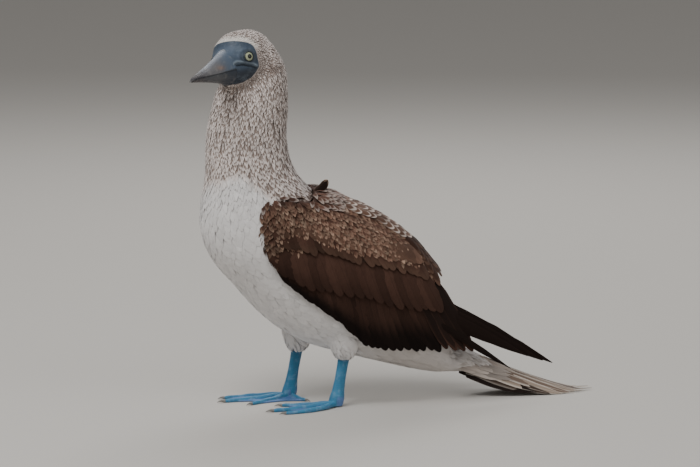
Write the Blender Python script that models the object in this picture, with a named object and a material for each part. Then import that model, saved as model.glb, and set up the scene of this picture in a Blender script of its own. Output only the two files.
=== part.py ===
"""Blue-footed booby (Sula nebouxii), standing, life size.

The bird faces -X with its left side to -Y, in metres with +Z up, and stands on the plane z = 0 with the tip
of its tail laid on the same plane. The origin is the bottom centre of the bounding box. The body is one bent
loft parted into neck and torso, and the head is a loft in its own turned frame. The flight feathers, their
coverts, the feathers over the shoulders and those of the tail are overlapping vanes, whose roots are sunk in
the node that carries them.
"""

import math

import bmesh
import bpy
import numpy as np
from mathutils import Matrix, Vector

MM = 0.001
GAP = 0.3 * MM  # between neighbouring nodes

EYE_RADIUS = 8.6 * MM
HEAD_YAW = math.radians(45)  # the head is turned this far towards the bird's left
HEAD_ROLL = math.radians(12)  # and leans over to its right
HEAD_ORIGIN = Vector((-143, -17, 440)) * MM  # midway between the eyes
BODY_SLOPE = math.radians(32)  # the body's axis falls this much towards the tail
BODY_MIDDLE = np.array((-38, 173)) * MM  # (x, z) of the middle of the torso, where the axis frame starts

SIDES = {"left": -1, "right": 1}  # the sign of Y on each side of the bird

# Stations of the bent body, from the top of the neck to the root of the tail, in mm:
# (x, z) on the throat, breast and belly, (x, z) on the nape and back, and half the width.
BODY_STATIONS = [
    ((-148, 421), (-88, 458), 25),
    ((-157.5, 399), (-73, 431), 32.5),
    ((-164, 377), (-69.5, 402), 37),
    ((-169.5, 354), (-69.5, 371), 39),
    ((-172, 327), (-71, 339), 40.5),
    ((-172.5, 293), (-63, 304), 44.5),
    ((-178, 257), (-42, 276), 53),
    ((-178, 223), (-11, 255), 60),
    ((-165, 189), (22, 238), 65),
    ((-135, 153), (51, 216), 67),
    ((-99, 114), (76, 190), 66.5),
    ((-56, 84), (96, 160), 63),
    ((-10, 68), (112, 132), 55),
    ((43, 53), (126, 106), 43),
    ((88, 41), (137, 82), 31),
    ((122, 34), (147, 61), 21),
]
NECK_BASE = 6.0  # the station at which neck and torso part
BODY_SIDES = 20
SQUARENESS = 2.15  # of the body's sections, 2 being an ellipse

# Stations of the head in its own frame, from the nape to the root of the bill, in mm:
# (forward, lowest, highest, half the width), measured from the point midway between the eyes.
HEAD_STATIONS = [
    (-66, -12, 6, 9),
    (-62, -22, 19, 20),
    (-53, -31, 30, 29.5),
    (-38, -37, 35.5, 35),
    (-20, -39, 35.5, 36),
    (-6, -38, 32.5, 32),
    (5, -36, 28, 25.5),
    (13, -33.5, 19.5, 19.5),
    (19, -31, 14.5, 15.5),
]
CROWN_POWER, JAW_POWER = 0.86, 0.95  # 1 is an ellipse, and less is squarer
BILL_ROOT = 19 * MM  # how far forward of the eyes the bill begins

# Stations of the bill: (forward, top of the culmen, line of the mouth, bottom, half the width), in mm
BILL_STATIONS = [
    (19, 14.5, -17, -31, 15.5),
    (30, 10.3, -16.8, -28, 12.8),
    (45, 4.2, -16.4, -25.4, 10.2),
    (62, -2.2, -16, -23.4, 8),
    (78, -7.4, -15.9, -21.8, 6.2),
    (90, -11.2, -16.3, -20.7, 4.6),
    (98, -14.2, -17.4, -20, 3),
]
BILL_TIP = (104, -19.6)  # (forward, up) of the hooked tip, in mm
MOUTH_CORNER = -17 * MM  # the gape runs this far behind the bill's root frame, past the eye
EYE_PLACE = (0, 21.5, 0)  # (forward, out, up) of an eyeball's centre, in mm
EYE_AIM = math.radians(62)  # the eye looks this far off straight ahead


def smooth(rows, count):
    """Rows of numbers read along a smooth curve through them, at count evenly spaced places."""
    rows = np.asarray(rows, float)
    places = np.linspace(0, len(rows) - 1, count)
    return np.array([at_station(rows, place) for place in places])


def at_station(rows, place):
    """One row of a table at a fractional place, by Catmull-Rom."""
    rows = np.asarray(rows, float)
    last = len(rows) - 1
    low = int(min(max(math.floor(place), 0), last - 1))
    t = place - low
    before, start, end, after = (rows[min(max(low + k, 0), last)] for k in (-1, 0, 1, 2))
    if low == 0:
        before = 2 * start - end
    if low == last - 1:
        after = 2 * end - start
    return 0.5 * (
        2 * start
        + (end - before) * t
        + (2 * before - 5 * start + 4 * end - after) * t**2
        + (3 * (start - end) + after - before) * t**3
    )


def curve_at(points, t):
    """A point at share t along a smooth curve through a few points."""
    return at_station(points, t * (len(points) - 1))


def body_row(place):
    """(breast point, back point, half width) of the bent body at a place along its stations, in metres."""
    table = [(*front, *back, width) for front, back, width in BODY_STATIONS]
    row = at_station(table, place) * MM
    return row[:2], row[2:4], row[4]


def signed_power(value, power):
    return math.copysign(abs(value) ** power, value)


def body_ring(place, grow=0.0, shift=0.0):
    """One section of the body, swollen by grow and moved by shift along the body."""
    front, back, width = body_row(place)
    centre, half = (front + back) / 2, (back - front) / 2
    depth = np.hypot(*half)
    up = half / depth
    along = np.array((up[1], -up[0]))
    centre = centre + along * shift
    ring = []
    for k in range(BODY_SIDES):
        angle = 2 * math.pi * k / BODY_SIDES
        out = signed_power(math.sin(angle), 2 / SQUARENESS) * (width + grow)
        rise = signed_power(math.cos(angle), 2 / SQUARENESS) * (depth + grow)
        x, z = centre + up * rise
        ring.append((x, out, z))
    return ring


def material(name, colour, roughness):
    made = bpy.data.materials.get(name)
    if made is None:
        made = bpy.data.materials.new(name)
        made.use_nodes = True
        shader = made.node_tree.nodes["Principled BSDF"]
        shader.inputs["Base Color"].default_value = (*colour, 1)
        shader.inputs["Roughness"].default_value = roughness
        shader.inputs["Metallic"].default_value = 0
    return made


LOOKS = {
    "white_plumage": ((0.62, 0.61, 0.60), 0.9),
    "streaked_plumage": ((0.42, 0.35, 0.31), 0.9),
    "brown_plumage": ((0.10, 0.065, 0.05), 0.8),
    "tail_plumage": ((0.36, 0.30, 0.26), 0.8),
    "slate_horn": ((0.15, 0.19, 0.23), 0.45),
    "blue_skin": ((0.08, 0.36, 0.62), 0.5),
    "claw_horn": ((0.42, 0.40, 0.37), 0.45),
    "eye": ((0.60, 0.58, 0.26), 0.1),
}


def link(name, mesh, look=None):
    obj = bpy.data.objects.new(name, mesh)
    BIRD.objects.link(obj)
    if look:
        mesh.materials.clear()
        mesh.materials.append(material(look, *LOOKS[look]))
        mesh.shade_smooth()
        mesh.set_sharp_from_angle(angle=math.radians(40))
    return obj


def loft(name, rings, look=None):
    """A closed surface over rings of as many points each, with a fan on each end."""
    count = len(rings[0])
    points = [tuple(point) for ring in rings for point in ring]
    faces = []
    for level in range(len(rings) - 1):
        low, high = level * count, (level + 1) * count
        for k in range(count):
            n = (k + 1) % count
            faces.append((low + k, low + n, high + n))
            faces.append((low + k, high + n, high + k))
    for start, ring, turned in ((0, rings[0], True), ((len(rings) - 1) * count, rings[-1], False)):
        middle = len(points)
        points.append(tuple(np.mean(np.array([tuple(p) for p in ring]), axis=0)))
        for k in range(count):
            n = (k + 1) % count
            fan = (start + k, start + n, middle)
            faces.append(fan[::-1] if turned else fan)
    mesh = bpy.data.meshes.new(name)
    mesh.from_pydata(points, [], faces)
    return link(name, outward(mesh), look)


def outward(mesh):
    """Turns the faces of a closed mesh to point out."""
    shape = bmesh.new()
    shape.from_mesh(mesh)
    bmesh.ops.recalc_face_normals(shape, faces=shape.faces)
    if shape.calc_volume(signed=True) < 0:
        bmesh.ops.reverse_faces(shape, faces=shape.faces)
    shape.to_mesh(mesh)
    shape.free()
    return mesh


def vane(sections, thickness):
    """A feather as a closed plate. Each section is (left, right, normal); the last one is the tip."""
    points, faces = [], []
    for left, right, normal in sections:
        half = normal * (thickness / 2)
        points += [left + half, right + half, right - half, left - half]
    for level in range(len(sections) - 1):
        low, high = 4 * level, 4 * (level + 1)
        for k in range(4):
            n = (k + 1) % 4
            a, b, c, d = low + k, low + n, high + n, high + k
            # The lower face takes the mirrored diagonal, so that both faces bend alike.
            faces += [(a, b, c), (a, c, d)] if k < 2 else [(a, b, d), (b, c, d)]
    end = 4 * (len(sections) - 1)
    faces += [(0, 2, 1), (0, 3, 2), (end, end + 1, end + 2), (end, end + 2, end + 3)]
    mesh = bpy.data.meshes.new("vane")
    mesh.from_pydata([tuple(p) for p in points], [], faces)
    return link("vane", outward(mesh))


def apply_boolean(target, operation, operand, solver):
    """Joins or cuts target with an object or a collection, and applies the result."""
    modifier = target.modifiers.new(operation, "BOOLEAN")
    modifier.operation = operation
    modifier.solver = solver
    if isinstance(operand, bpy.types.Collection):
        modifier.operand_type = "COLLECTION"
        modifier.collection = operand
    else:
        modifier.object = operand
    graph = bpy.context.evaluated_depsgraph_get()
    result = bpy.data.meshes.new_from_object(target.evaluated_get(graph))
    target.modifiers.clear()
    target.data = result


def remove(objects):
    for obj in list(objects):
        bpy.data.objects.remove(obj)


def keep_largest(obj):
    """Keeps only the largest closed surface of a mesh."""
    shape = bmesh.new()
    shape.from_mesh(obj.data)
    bmesh.ops.triangulate(shape, faces=shape.faces)
    left, best = set(shape.verts), []
    while left:
        stack, found = [left.pop()], []
        while stack:
            vert = stack.pop()
            found.append(vert)
            for edge in vert.link_edges:
                other = edge.other_vert(vert)
                if other in left:
                    left.remove(other)
                    stack.append(other)
        if len(found) > len(best):
            best = found
    kept = set(best)
    bmesh.ops.delete(shape, geom=[v for v in shape.verts if v not in kept], context="VERTS")
    bmesh.ops.triangulate(shape, faces=shape.faces)
    shape.to_mesh(obj.data)
    shape.free()


def finish_mesh(obj, look):
    obj.data.materials.clear()
    obj.data.materials.append(material(look, *LOOKS[look]))
    obj.data.shade_smooth()
    obj.data.set_sharp_from_angle(angle=math.radians(35))


def fuse(core, pieces, look, solver="EXACT"):
    """Unions the pieces into the core and removes them. Many crossing vanes need the MANIFOLD solver."""
    operands = bpy.data.collections.new("operands")
    bpy.context.scene.collection.children.link(operands)
    for piece in pieces:
        BIRD.objects.unlink(piece)
        operands.objects.link(piece)
    apply_boolean(core, "UNION", operands, solver)
    remove(operands.objects)
    bpy.data.collections.remove(operands)
    keep_largest(core)
    finish_mesh(core, look)
    return core


def cut(obj, cutter, look, solver="EXACT"):
    """Cuts obj with a closed cutter, which is then removed."""
    apply_boolean(obj, "DIFFERENCE", cutter, solver)
    remove([cutter])
    keep_largest(obj)
    finish_mesh(obj, look)
    return obj


def head_matrix():
    """The head's frame in the bird's: forward along local X, the bird's left along local Y, up along Z."""
    facing = Matrix.Rotation(math.pi + HEAD_YAW, 4, "Z")
    lean = Matrix.Rotation(HEAD_ROLL, 4, "X")
    return Matrix.Translation(HEAD_ORIGIN) @ facing @ lean


def head_point(forward, out, up):
    return head_matrix() @ Vector((forward, out, up))


def head_ring(row, grow=0.0, sides=20):
    """One section of the head, egg shaped with its widest part a little under the middle."""
    forward, low, high, width = row
    middle = (low * 0.52 + high * 0.48)
    ring = []
    for k in range(sides):
        angle = 2 * math.pi * k / sides
        over = math.cos(angle) > 0
        power = CROWN_POWER if over else JAW_POWER
        across = signed_power(math.sin(angle), power) * (width + grow)
        reach = (high - middle if over else middle - low) + grow
        ring.append(head_point(forward, across, middle + signed_power(math.cos(angle), power) * reach))
    return ring


def head_rows(count=12):
    return smooth(np.array(HEAD_STATIONS) * MM, count)


def head_solid(name, grow=0.0):
    rows = head_rows()
    if grow:
        rows = rows.copy()
        rows[0][0] -= grow
        rows[-1][0] += grow
    return loft(name, [head_ring(row, grow) for row in rows])


def eye_frame(side):
    """The eyeball's place and aim on one side, in the bird's frame. Its local Z looks out of the eye."""
    forward, out, up = (value * MM for value in EYE_PLACE)
    left = -SIDES[side]
    place = Matrix.Translation(Vector((forward, out * left, up)))
    looking = Vector((math.cos(EYE_AIM), math.sin(EYE_AIM) * left, 0))
    return head_matrix() @ place @ looking.to_track_quat("Z", "Y").to_matrix().to_4x4()


def ball(name, radius, matrix):
    mesh = bpy.data.meshes.new(name)
    shape = bmesh.new()
    bmesh.ops.create_uvsphere(shape, u_segments=12, v_segments=9, radius=radius)
    shape.to_mesh(mesh)
    shape.free()
    mesh.transform(matrix)
    return link(name, mesh)


def lid_ring(matrix):
    """The raised orbital ring that rims the eye."""
    major, minor = 7.0 * MM, 1.6 * MM
    rise = math.sqrt(EYE_RADIUS**2 - major**2)
    rings = []
    for k in range(16):
        turn = 2 * math.pi * k / 16
        spoke = Vector((math.cos(turn), math.sin(turn), 0))
        ring = []
        for j in range(5):
            angle = 2 * math.pi * j / 5
            offset = spoke * (major + minor * math.cos(angle))
            offset.z = rise + minor * math.sin(angle)
            ring.append(matrix @ offset)
        rings.append(ring)
    points = [tuple(p) for ring in rings for p in ring]
    faces = []
    for k in range(16):
        for j in range(5):
            a, b = 5 * k + j, 5 * k + (j + 1) % 5
            c, d = 5 * ((k + 1) % 16) + (j + 1) % 5, 5 * ((k + 1) % 16) + j
            faces += [(a, b, c), (a, c, d)]
    mesh = bpy.data.meshes.new("lid")
    mesh.from_pydata(points, [], faces)
    return link("lid", outward(mesh))


def mouth_cutter(side):
    """A thin wedge that cuts the line of the mouth into the cheek, from the bill's root back past the eye."""
    left = -SIDES[side]
    outer, depth, thin = 40 * MM, 2.2 * MM, 0.35 * MM
    line = [(BILL_ROOT + 2 * MM, -17.0), (8 * MM, -17.6), (-5 * MM, -18.2), (MOUTH_CORNER, -19.5)]
    rows = head_rows()
    rings = []
    for forward, up in line:
        width = np.interp(forward, rows[:, 0], rows[:, 3])
        inner = (width * 0.93 - depth) * left
        rings.append([
            head_point(forward, inner, up * MM + thin),
            head_point(forward, outer * left, up * MM + thin),
            head_point(forward, outer * left, up * MM - thin),
            head_point(forward, inner, up * MM - thin),
        ])
    return loft("mouth_cut", rings)


def make_head():
    head = head_solid("head")
    fuse(head, [lid_ring(eye_frame(side)) for side in SIDES], "streaked_plumage")
    for side in SIDES:
        cut(head, ball("socket", EYE_RADIUS + GAP, eye_frame(side)), "streaked_plumage")
        eye = ball(f"eye_{side}", EYE_RADIUS, eye_frame(side))
        finish_mesh(eye, "eye")
        cut(head, mouth_cutter(side), "streaked_plumage")
    return head


def bill_ring(row, upper):
    """A section of the upper or the lower half of the bill, flat along the line of the mouth."""
    forward, top, mouth, bottom, width = (value * MM for value in row)
    seam = GAP / 2
    far = top if upper else bottom
    near = mouth + seam if upper else mouth - seam
    ridged = min(max((forward - BILL_ROOT) / (30 * MM), 0), 1)
    sharp = 2.0 - 0.5 * ridged if upper else 1.9  # the culmen narrows to a ridge, the lower jaw is fuller
    ring = []
    steps = 8
    for k in range(steps + 1):
        angle = math.pi * k / steps
        across = math.cos(angle) * width
        rise = near + (far - near) * (1 - abs(math.cos(angle)) ** sharp) ** (1 / sharp)
        if k in (0, steps):
            rise = near
        ring.append(head_point(forward, across, rise))
    for share in (-0.5, 0.5):
        ring.append(head_point(forward, share * width, near))
    return ring


def make_bill():
    rows = smooth(BILL_STATIONS, 10)
    rows[0][0] += GAP / MM
    tip_forward, tip_up = BILL_TIP
    for name, upper in (("bill_upper", True), ("bill_lower", False)):
        rings = [bill_ring(row, upper) for row in rows]
        reach = tip_forward if upper else tip_forward - 4
        end = (reach, tip_up + 1.6, tip_up + 0.3, 0, 0.7) if upper else (reach, 0, -18.6, -20.1, 0.8)
        rings.append(bill_ring(end, upper))
        loft(name, rings, "slate_horn")


def make_neck():
    places = np.linspace(0, NECK_BASE, 11)
    neck = loft("neck", [body_ring(place) for place in places])
    cut(neck, head_solid("head_room", GAP), "streaked_plumage")


def torso_solid(name, grow=0.0):
    places = np.linspace(NECK_BASE, len(BODY_STATIONS) - 1, 15)
    shifts = [GAP] + [0] * 14
    if grow:
        shifts = [-grow] + [0] * 13 + [grow]
    return loft(name, [body_ring(place, grow, shift) for place, shift in zip(places, shifts)])


def shingle(point_at, half_width, steps, profile, slope, thickness):
    """Sections of one feather. point_at(t, across, lift) gives a point at share t of its length."""
    sections = []
    for t in np.linspace(0, 1, steps):
        half = half_width * profile(t)
        left, right = (point_at(t, k * half, -k * half * slope) for k in (-1, 1))
        rise = point_at(t, 0, thickness) - point_at(t, 0, 0)
        sections.append((left, right, rise.normalized()))
    return sections


def rounded(t):
    """Width of a covert or secondary along its length: narrow root, broad vane, rounded tip."""
    opening = 0.45 + 0.55 * math.sin(min(t / 0.45, 1) * math.pi / 2)
    return opening * math.sqrt(max(1 - max((t - 0.62) / 0.4, 0) ** 2, 0.02))


def pointed(t):
    """Width of a primary or tail feather, which tapers to a blunt point."""
    opening = 0.55 + 0.45 * math.sin(min(t / 0.4, 1) * math.pi / 2)
    return opening * (1 - max((t - 0.45) / 0.57, 0) ** 1.8)


def make_torso():
    finish_mesh(torso_solid("torso"), "white_plumage")


# The wing lies on a bed that follows the flank, in the axis frame: a runs along the body's axis towards the
# tail and d square to it towards the back. Rows are (a, half width, half height) of the bed, in mm.
BED_STATIONS = [
    (-115, 52, 92),
    (-70, 63, 98),
    (-20, 69, 102),
    (30, 70, 104),
    (80, 65, 103),
    (130, 54, 98),
    (180, 43, 88),
    (230, 34, 74),
    (335, 24, 70),
]
# Edges of the fleshy part of the folded wing, from the wrist to the elbow, as (a, d) in mm
WING_TOP = [(-104, 13), (-110, 42), (-84, 60), (-28, 78), (35, 90), (85, 87), (122, 68)]
WING_LOW = [(-104, 13), (-86, -6), (-45, -27), (5, -30), (55, -24), (95, -4), (126, 30)]
WING_STEPS, WING_ROWS = 11, 5
ARM_DEPTH_OUT, ARM_DEPTH_IN = 5.5 * MM, 15 * MM
FEATHER = 0.75 * MM  # thickness of a vane
PRIMARY = 0.9 * MM  # and of the long blades of the hand


def bed(a, d):
    """How far out the wing's bed lies at a place in the axis frame."""
    table = np.array(BED_STATIONS) * MM
    width = np.interp(a, table[:, 0], table[:, 1])
    height = np.interp(a, table[:, 0], table[:, 2])
    return width * max(1 - abs(d / height) ** 2.4, 0.03) ** (1 / 2.2)


def axis_point(a, d, out, side):
    """From the axis frame to the bird's frame, out being the distance from the mirror plane."""
    x = BODY_MIDDLE[0] + a * math.cos(BODY_SLOPE) + d * math.sin(BODY_SLOPE)
    z = BODY_MIDDLE[1] - a * math.sin(BODY_SLOPE) + d * math.cos(BODY_SLOPE)
    return Vector((x, out * SIDES[side], z))


def wing_arm(side):
    """The feathered arm: a lens between the wing's top and low edges, thin at both."""
    rings = []
    for i in range(WING_STEPS):
        t = 0.012 + 0.988 * i / (WING_STEPS - 1)
        top, low = curve_at(WING_TOP, t) * MM, curve_at(WING_LOW, t) * MM
        fill = min(1, math.sqrt(t * 4)) * (1 - 0.45 * max(t - 0.6, 0) / 0.4)
        ring = []
        for j in range(2 * WING_ROWS):
            outer = j <= WING_ROWS
            v = j / WING_ROWS if outer else 2 - j / WING_ROWS
            a, d = top + (low - top) * v
            lens = math.sqrt(max(1 - (2 * v - 1) ** 2, 0))
            deep = ARM_DEPTH_OUT if outer else -ARM_DEPTH_IN * (1 - 0.5 * max(t - 0.5, 0) / 0.5)
            ring.append(axis_point(a, d, bed(a, d) + deep * lens * fill, side))
        rings.append(ring)
    return loft(f"wing_{side}", rings)


def wing_feather(side, root, tip, half_width, profile, slope, lifts, thickness=FEATHER, bow=0.0, steps=6):
    """A feather from root to tip in the axis frame, in mm, at heights over the bed read along lifts."""
    root, tip = np.array(root) * MM, np.array(tip) * MM
    run = tip - root
    length = np.hypot(*run)
    square = np.array((-run[1], run[0])) / length

    def at(t, across, lift):
        a, d = root + run * t + square * (across + bow * MM * math.sin(math.pi * t))
        height = np.interp(t, np.linspace(0, 1, len(lifts)), lifts) * MM
        return axis_point(a, d, bed(a, d) + height + lift, side)

    return vane(shingle(at, half_width * MM, steps, profile, slope, thickness), thickness)


# The two wings meet over the back in a roof. Its ridge, and the wing's top edge, as (a, d) in mm
RIDGE = [(-70, 86), (-26, 95), (15, 102), (41, 103.5), (68, 102.5), (96, 98), (138, 84), (160, 72)]
ROOF_EDGE = [(-112, 46), (-84, 60), (-28, 78), (35, 90), (85, 87), (122, 68), (150, 50)]
ROOF_SPAN = (-56, 138)
ROOF_STEPS, ROOF_POINTS = 8, 5
ROOF_LIFT = 1.5 * MM
ROOF_DEPTH = ((95, 46), (138, 9))  # (a, depth) in mm: it thins out where it leaves the body behind
MIDLINE = 0.6 * MM  # how far each wing's roof stays from the mirror plane


def roof_point(side, a, share, lift):
    """A point over the roof, share running from 0 at the ridge to 1 at the wing's top edge. a is in mm."""
    ridge, edge = (np.interp(a, *np.array(line, float).T) * MM for line in (RIDGE, ROOF_EDGE))
    wide, high = bed(a * MM, edge), ridge - edge
    turn = share * math.pi / 2
    out, d = wide * math.sin(turn), edge + high * math.cos(turn)
    normal = np.array((math.sin(turn) / wide, math.cos(turn) / high))
    out, d = np.array((out, d)) + normal / np.hypot(*normal) * lift
    return axis_point(a * MM, d, max(out, MIDLINE), side)


def roof(side):
    """The pad between the wing's top edge and the back's ridge, filled down into the body."""
    rings = []
    over, under = np.linspace(0, 1.06, ROOF_POINTS), np.linspace(1.06, 0, 3)
    for step in np.linspace(0, 1, ROOF_STEPS):
        a = ROOF_SPAN[0] + (ROOF_SPAN[1] - ROOF_SPAN[0]) * step
        lift = ROOF_LIFT * math.sin(math.pi / 2 * min(10 * step + 0.2, 1))
        depth = np.interp(a, *np.array(ROOF_DEPTH).T) * MM
        ring = [roof_point(side, a, share, lift) for share in over]
        ring += [roof_point(side, a, share, -depth * (1 - 0.35 * share)) for share in under]
        rings.append(ring)
    return loft("roof", rings)


SCAPULAR_ROWS = [  # share from the ridge, first and last a, length, half width, rise of the tip, how many
    (0.30, -52, 44, 36, 11.5, 3.2, 5),
    (0.62, -56, 36, 36, 11.5, 3.2, 5),
    (0.22, 66, 112, 50, 10, 4.0, 3),
    (0.60, 58, 106, 46, 11, 3.6, 2),
]


def scapulars(side):
    """Rows of feathers over the shoulder, the short ones in front, each lapping the next."""
    found = []
    for middle, first, last, long, half, rise, count in SCAPULAR_ROWS:
        for start in np.linspace(first, last, count):

            def at(t, across, lift, start=start, middle=middle, long=long, rise=rise):
                a = start + long * t
                wide = bed(a * MM, np.interp(a, *np.array(ROOF_EDGE, float).T) * MM)
                share = middle + across / (wide * 1.3)
                return roof_point(side, a, share, (-0.5 + rise * math.sin(t * math.pi / 2)) * MM + lift)

            found.append(vane(shingle(at, half * MM, 4, rounded, 0.0, FEATHER), FEATHER))
    return found


SECONDARY_TIPS = [(-16, -30), (22, -36), (52, -39), (82, -45), (112, -45), (153, -27), (190, -7)]
SECONDARY_ROOTS = [(-62, -8), (-28, -5), (0, -1), (26, 4), (54, 12), (80, 26), (98, 44)]
TERTIAL_TIPS = [(206, 1), (231, 11)]
TERTIAL_ROOTS = [(98, 56), (100, 70)]
GREATER_TIPS = [(-58, -20), (-9, -24), (34, -8), (82, 7), (130, 21), (164, 36)]
GREATER_ROOTS = [(-90, 6), (-52, 14), (-14, 28), (32, 44), (74, 60), (106, 70)]
MEDIAN_TIPS = [(-74, -2), (-38, 14), (0, 27), (42, 40), (84, 53), (126, 64)]
MEDIAN_ROOTS = [(-98, 22), (-70, 38), (-34, 52), (8, 64), (48, 76), (88, 82)]


def tier(side, roots, tips, count, half_width, lifts, slope, profile=rounded, steps=5):
    """A row of feathers from the wrist to the elbow. Each laps the one nearer the wrist."""
    found = []
    for k in range(count):
        t = k / (count - 1)
        root, tip = curve_at(roots, t), curve_at(tips, t)
        found.append(wing_feather(side, root, tip, half_width, profile, slope, lifts, steps=steps))
    return found


PRIMARIES = [  # (root, tip) in the axis frame and distances out from the mirror plane, in mm
    ((96, 36), (336, 54), (46, 22)),
    ((96, 31), (322, 50), (48, 25)),
    ((96, 26), (300, 45), (50, 29)),
]
PRIMARY_HALF_WIDTH = 10.5


def primaries(side):
    """The long blades of the hand, lying inside the secondaries and reaching out behind them."""
    found = []
    for root, tip, outs in PRIMARIES:
        start, end = np.array(root) * MM, np.array(tip) * MM
        run = end - start
        square = np.array((-run[1], run[0])) / np.hypot(*run)

        def at(t, across, lift, start=start, run=run, square=square, outs=outs):
            a, d = start + run * t + square * across
            out = (outs[0] + (outs[1] - outs[0]) * t) * MM + lift - 0.8 * MM * (across / (12 * MM)) ** 2
            return axis_point(a, d, out, side)

        found.append(vane(shingle(at, PRIMARY_HALF_WIDTH * MM, 6, pointed, 0.0, PRIMARY), PRIMARY))
    return found


def make_wing(side):
    arm = wing_arm(side)
    pieces = tier(side, SECONDARY_ROOTS, SECONDARY_TIPS, 10, 14, (0.6, 0.8, 0.8, 0.4), 0.085)
    pieces += [
        wing_feather(side, root, tip, 13, rounded, 0.085, (0.8, 1.6, 1.4, 1.0), bow=3, steps=6)
        for root, tip in zip(TERTIAL_ROOTS, TERTIAL_TIPS)
    ]
    pieces += tier(side, GREATER_ROOTS, GREATER_TIPS, 9, 15, (1.5, 4.4, 4.6, 4.5), 0.075)
    pieces += tier(side, MEDIAN_ROOTS, MEDIAN_TIPS, 8, 15, (1.5, 7.6, 8.0, 8.0), 0.07)
    pieces += primaries(side) + [roof(side)] + scapulars(side)
    fuse(arm, pieces, "brown_plumage", "MANIFOLD")
    cut(arm, torso_solid("torso_room", GAP), "brown_plumage", "MANIFOLD")


TAIL_ROOT = (162 * MM, 60.5 * MM)  # (x, z) of the ridge where the feathers leave the rump
TAIL_TIP_X = 334 * MM  # where the ridge reaches the floor
TAIL_BEND = 1.35  # 1 is a straight fall to the floor, and more falls sooner and then lies flatter
TAIL_PAIRS = [  # from the middle out: x of the tip, splay and tilt in degrees, out from and below the ridge
    (334, 0.4, 12, 6.2, 0.0),
    (320, 2.2, 32, 11, 3.5),
    (304, 4.0, 50, 15.5, 9.5),
    (288, 4.8, 62, 17.5, 16),
    (270, 5.4, 70, 18.5, 22.5),
    (252, 6.0, 75, 19, 29),
]
TAIL_HALF_WIDTH = 8.5 * MM
TAIL_CLOSING = 0.4  # the drop below the ridge shrinks by this share towards the tip


def tail_ridge(x):
    """Height of the tail's ridge."""
    return TAIL_ROOT[1] * max(1 - (x - TAIL_ROOT[0]) / (TAIL_TIP_X - TAIL_ROOT[0]), 0) ** TAIL_BEND


def tail_feather(side, pair):
    """A tail feather. The pairs lie on a steep roof, and the middle pair ends on the floor."""
    tip_x, splay, tilt, out_from, drop = TAIL_PAIRS[pair]
    turn, lean = math.tan(math.radians(splay)), math.radians(tilt)
    long = tip_x * MM - TAIL_ROOT[0]

    def at(t, across, lift):
        x = TAIL_ROOT[0] + t * long
        offset = across * SIDES[side]
        out = out_from * MM + t * long * turn + offset * math.cos(lean) + lift * math.sin(lean)
        z = tail_ridge(x) - drop * MM * (1 - TAIL_CLOSING * t)
        z += lift * math.cos(lean) - offset * math.sin(lean)
        return Vector((x, max(out, MIDLINE) * SIDES[side], max(z, FEATHER)))

    return vane(shingle(at, TAIL_HALF_WIDTH, 6, pointed, 0.0, FEATHER), FEATHER)


TAIL_BLOCK = [  # (x, z of the middle, half width, half height) in mm
    (160, 48, 21.5, 16),
    (180, 42, 20.5, 12),
    (198, 36.5, 17, 7.5),
    (214, 32, 11, 3.5),
]


def tail_block():
    """The root of the tail, under its coverts."""
    rings = [body_ring(len(BODY_STATIONS) - 1, -0.6 * MM, GAP)]
    for x, z, half, high in TAIL_BLOCK:
        turns = [2 * math.pi * k / BODY_SIDES for k in range(BODY_SIDES)]
        rings.append([(x * MM, math.sin(a) * half * MM, (z + math.cos(a) * high) * MM) for a in turns])
    return loft("tail", rings)


def make_tail():
    block = tail_block()
    pieces = [tail_feather(side, pair) for pair in range(len(TAIL_PAIRS)) for side in SIDES]
    fuse(block, pieces, "tail_plumage", "MANIFOLD")
    cut(block, torso_solid("torso_room", GAP), "tail_plumage", "MANIFOLD")


FEET = {  # ankle and heel of each leg, and the way the toes point, in mm and degrees from -X to -Y
    "left": {"ankle": (-4.5, -36, 62), "heel": (-14, -37, 11), "toes": 8},
    "right": {"ankle": (-47, 36, 63), "heel": (-56.5, 37, 11), "toes": 10},
}
# Rings of the thigh: (share of the way down, height over the ankle, half depth, half width), in mm
THIGH = [(0, 52, 17, 13), (0.45, 27, 21, 17), (0.8, 10, 16, 14.5), (0.93, 3, 11.8, 11), (1.0, 0, 9.4, 8.6)]
# and of the shank: (share of the way down, half depth, half width)
SHANK = [(0, 8.0, 6.0), (0.2, 7.6, 5.4), (0.5, 7.4, 5.2), (0.78, 8.3, 5.8), (1.0, 10.2, 7.8)]
TOES = [  # (degrees towards the inner side, length in mm, radius at the root, outward bow in mm)
    (105, 33, 3.4, 0),
    (22, 70, 3.8, 0),
    (-3, 89, 4.2, 1),
    (-18, 85, 3.8, 9),
]
CLAW_LENGTH = [8, 9, 10, 8]
WEB_THICKNESS = 2.2


def disc(centre, axis, across, radius_across, radius_along, count):
    """A ring of points round a limb."""
    third = axis.cross(across).normalized()
    return [
        centre
        + across * (math.cos(2 * math.pi * k / count) * radius_across)
        + third * (math.sin(2 * math.pi * k / count) * radius_along)
        for k in range(count)
    ]


def make_thigh(side):
    """The feathered drumstick between the belly and the ankle."""
    ankle = Vector(FEET[side]["ankle"]) * MM
    rings = []
    for share, up, deep, wide in THIGH[::-1]:
        centre = ankle + Vector((3 * (1 - share), 0, up)) * MM
        centre.z += 2 * GAP
        rings.append(disc(centre, Vector((0, 0, 1)), Vector((1, 0, 0)), deep * MM, wide * MM, 18))
    thigh = loft(f"thigh_{side}", rings)
    cut(thigh, torso_solid("torso_room", GAP), "white_plumage")


def make_shank(side):
    """The scaled tarsus, deeper than wide, flaring at the ankle and at the toes."""
    ankle, heel = (Vector(FEET[side][key]) * MM for key in ("ankle", "heel"))
    axis = (heel - ankle).normalized()
    rings = []
    for t, deep, wide in SHANK:
        centre = ankle.lerp(heel, t)
        rings.append(disc(centre, axis, Vector((1, 0, 0)), deep * MM, wide * MM, 14))
    loft(f"shank_{side}", rings, "blue_skin")


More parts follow.
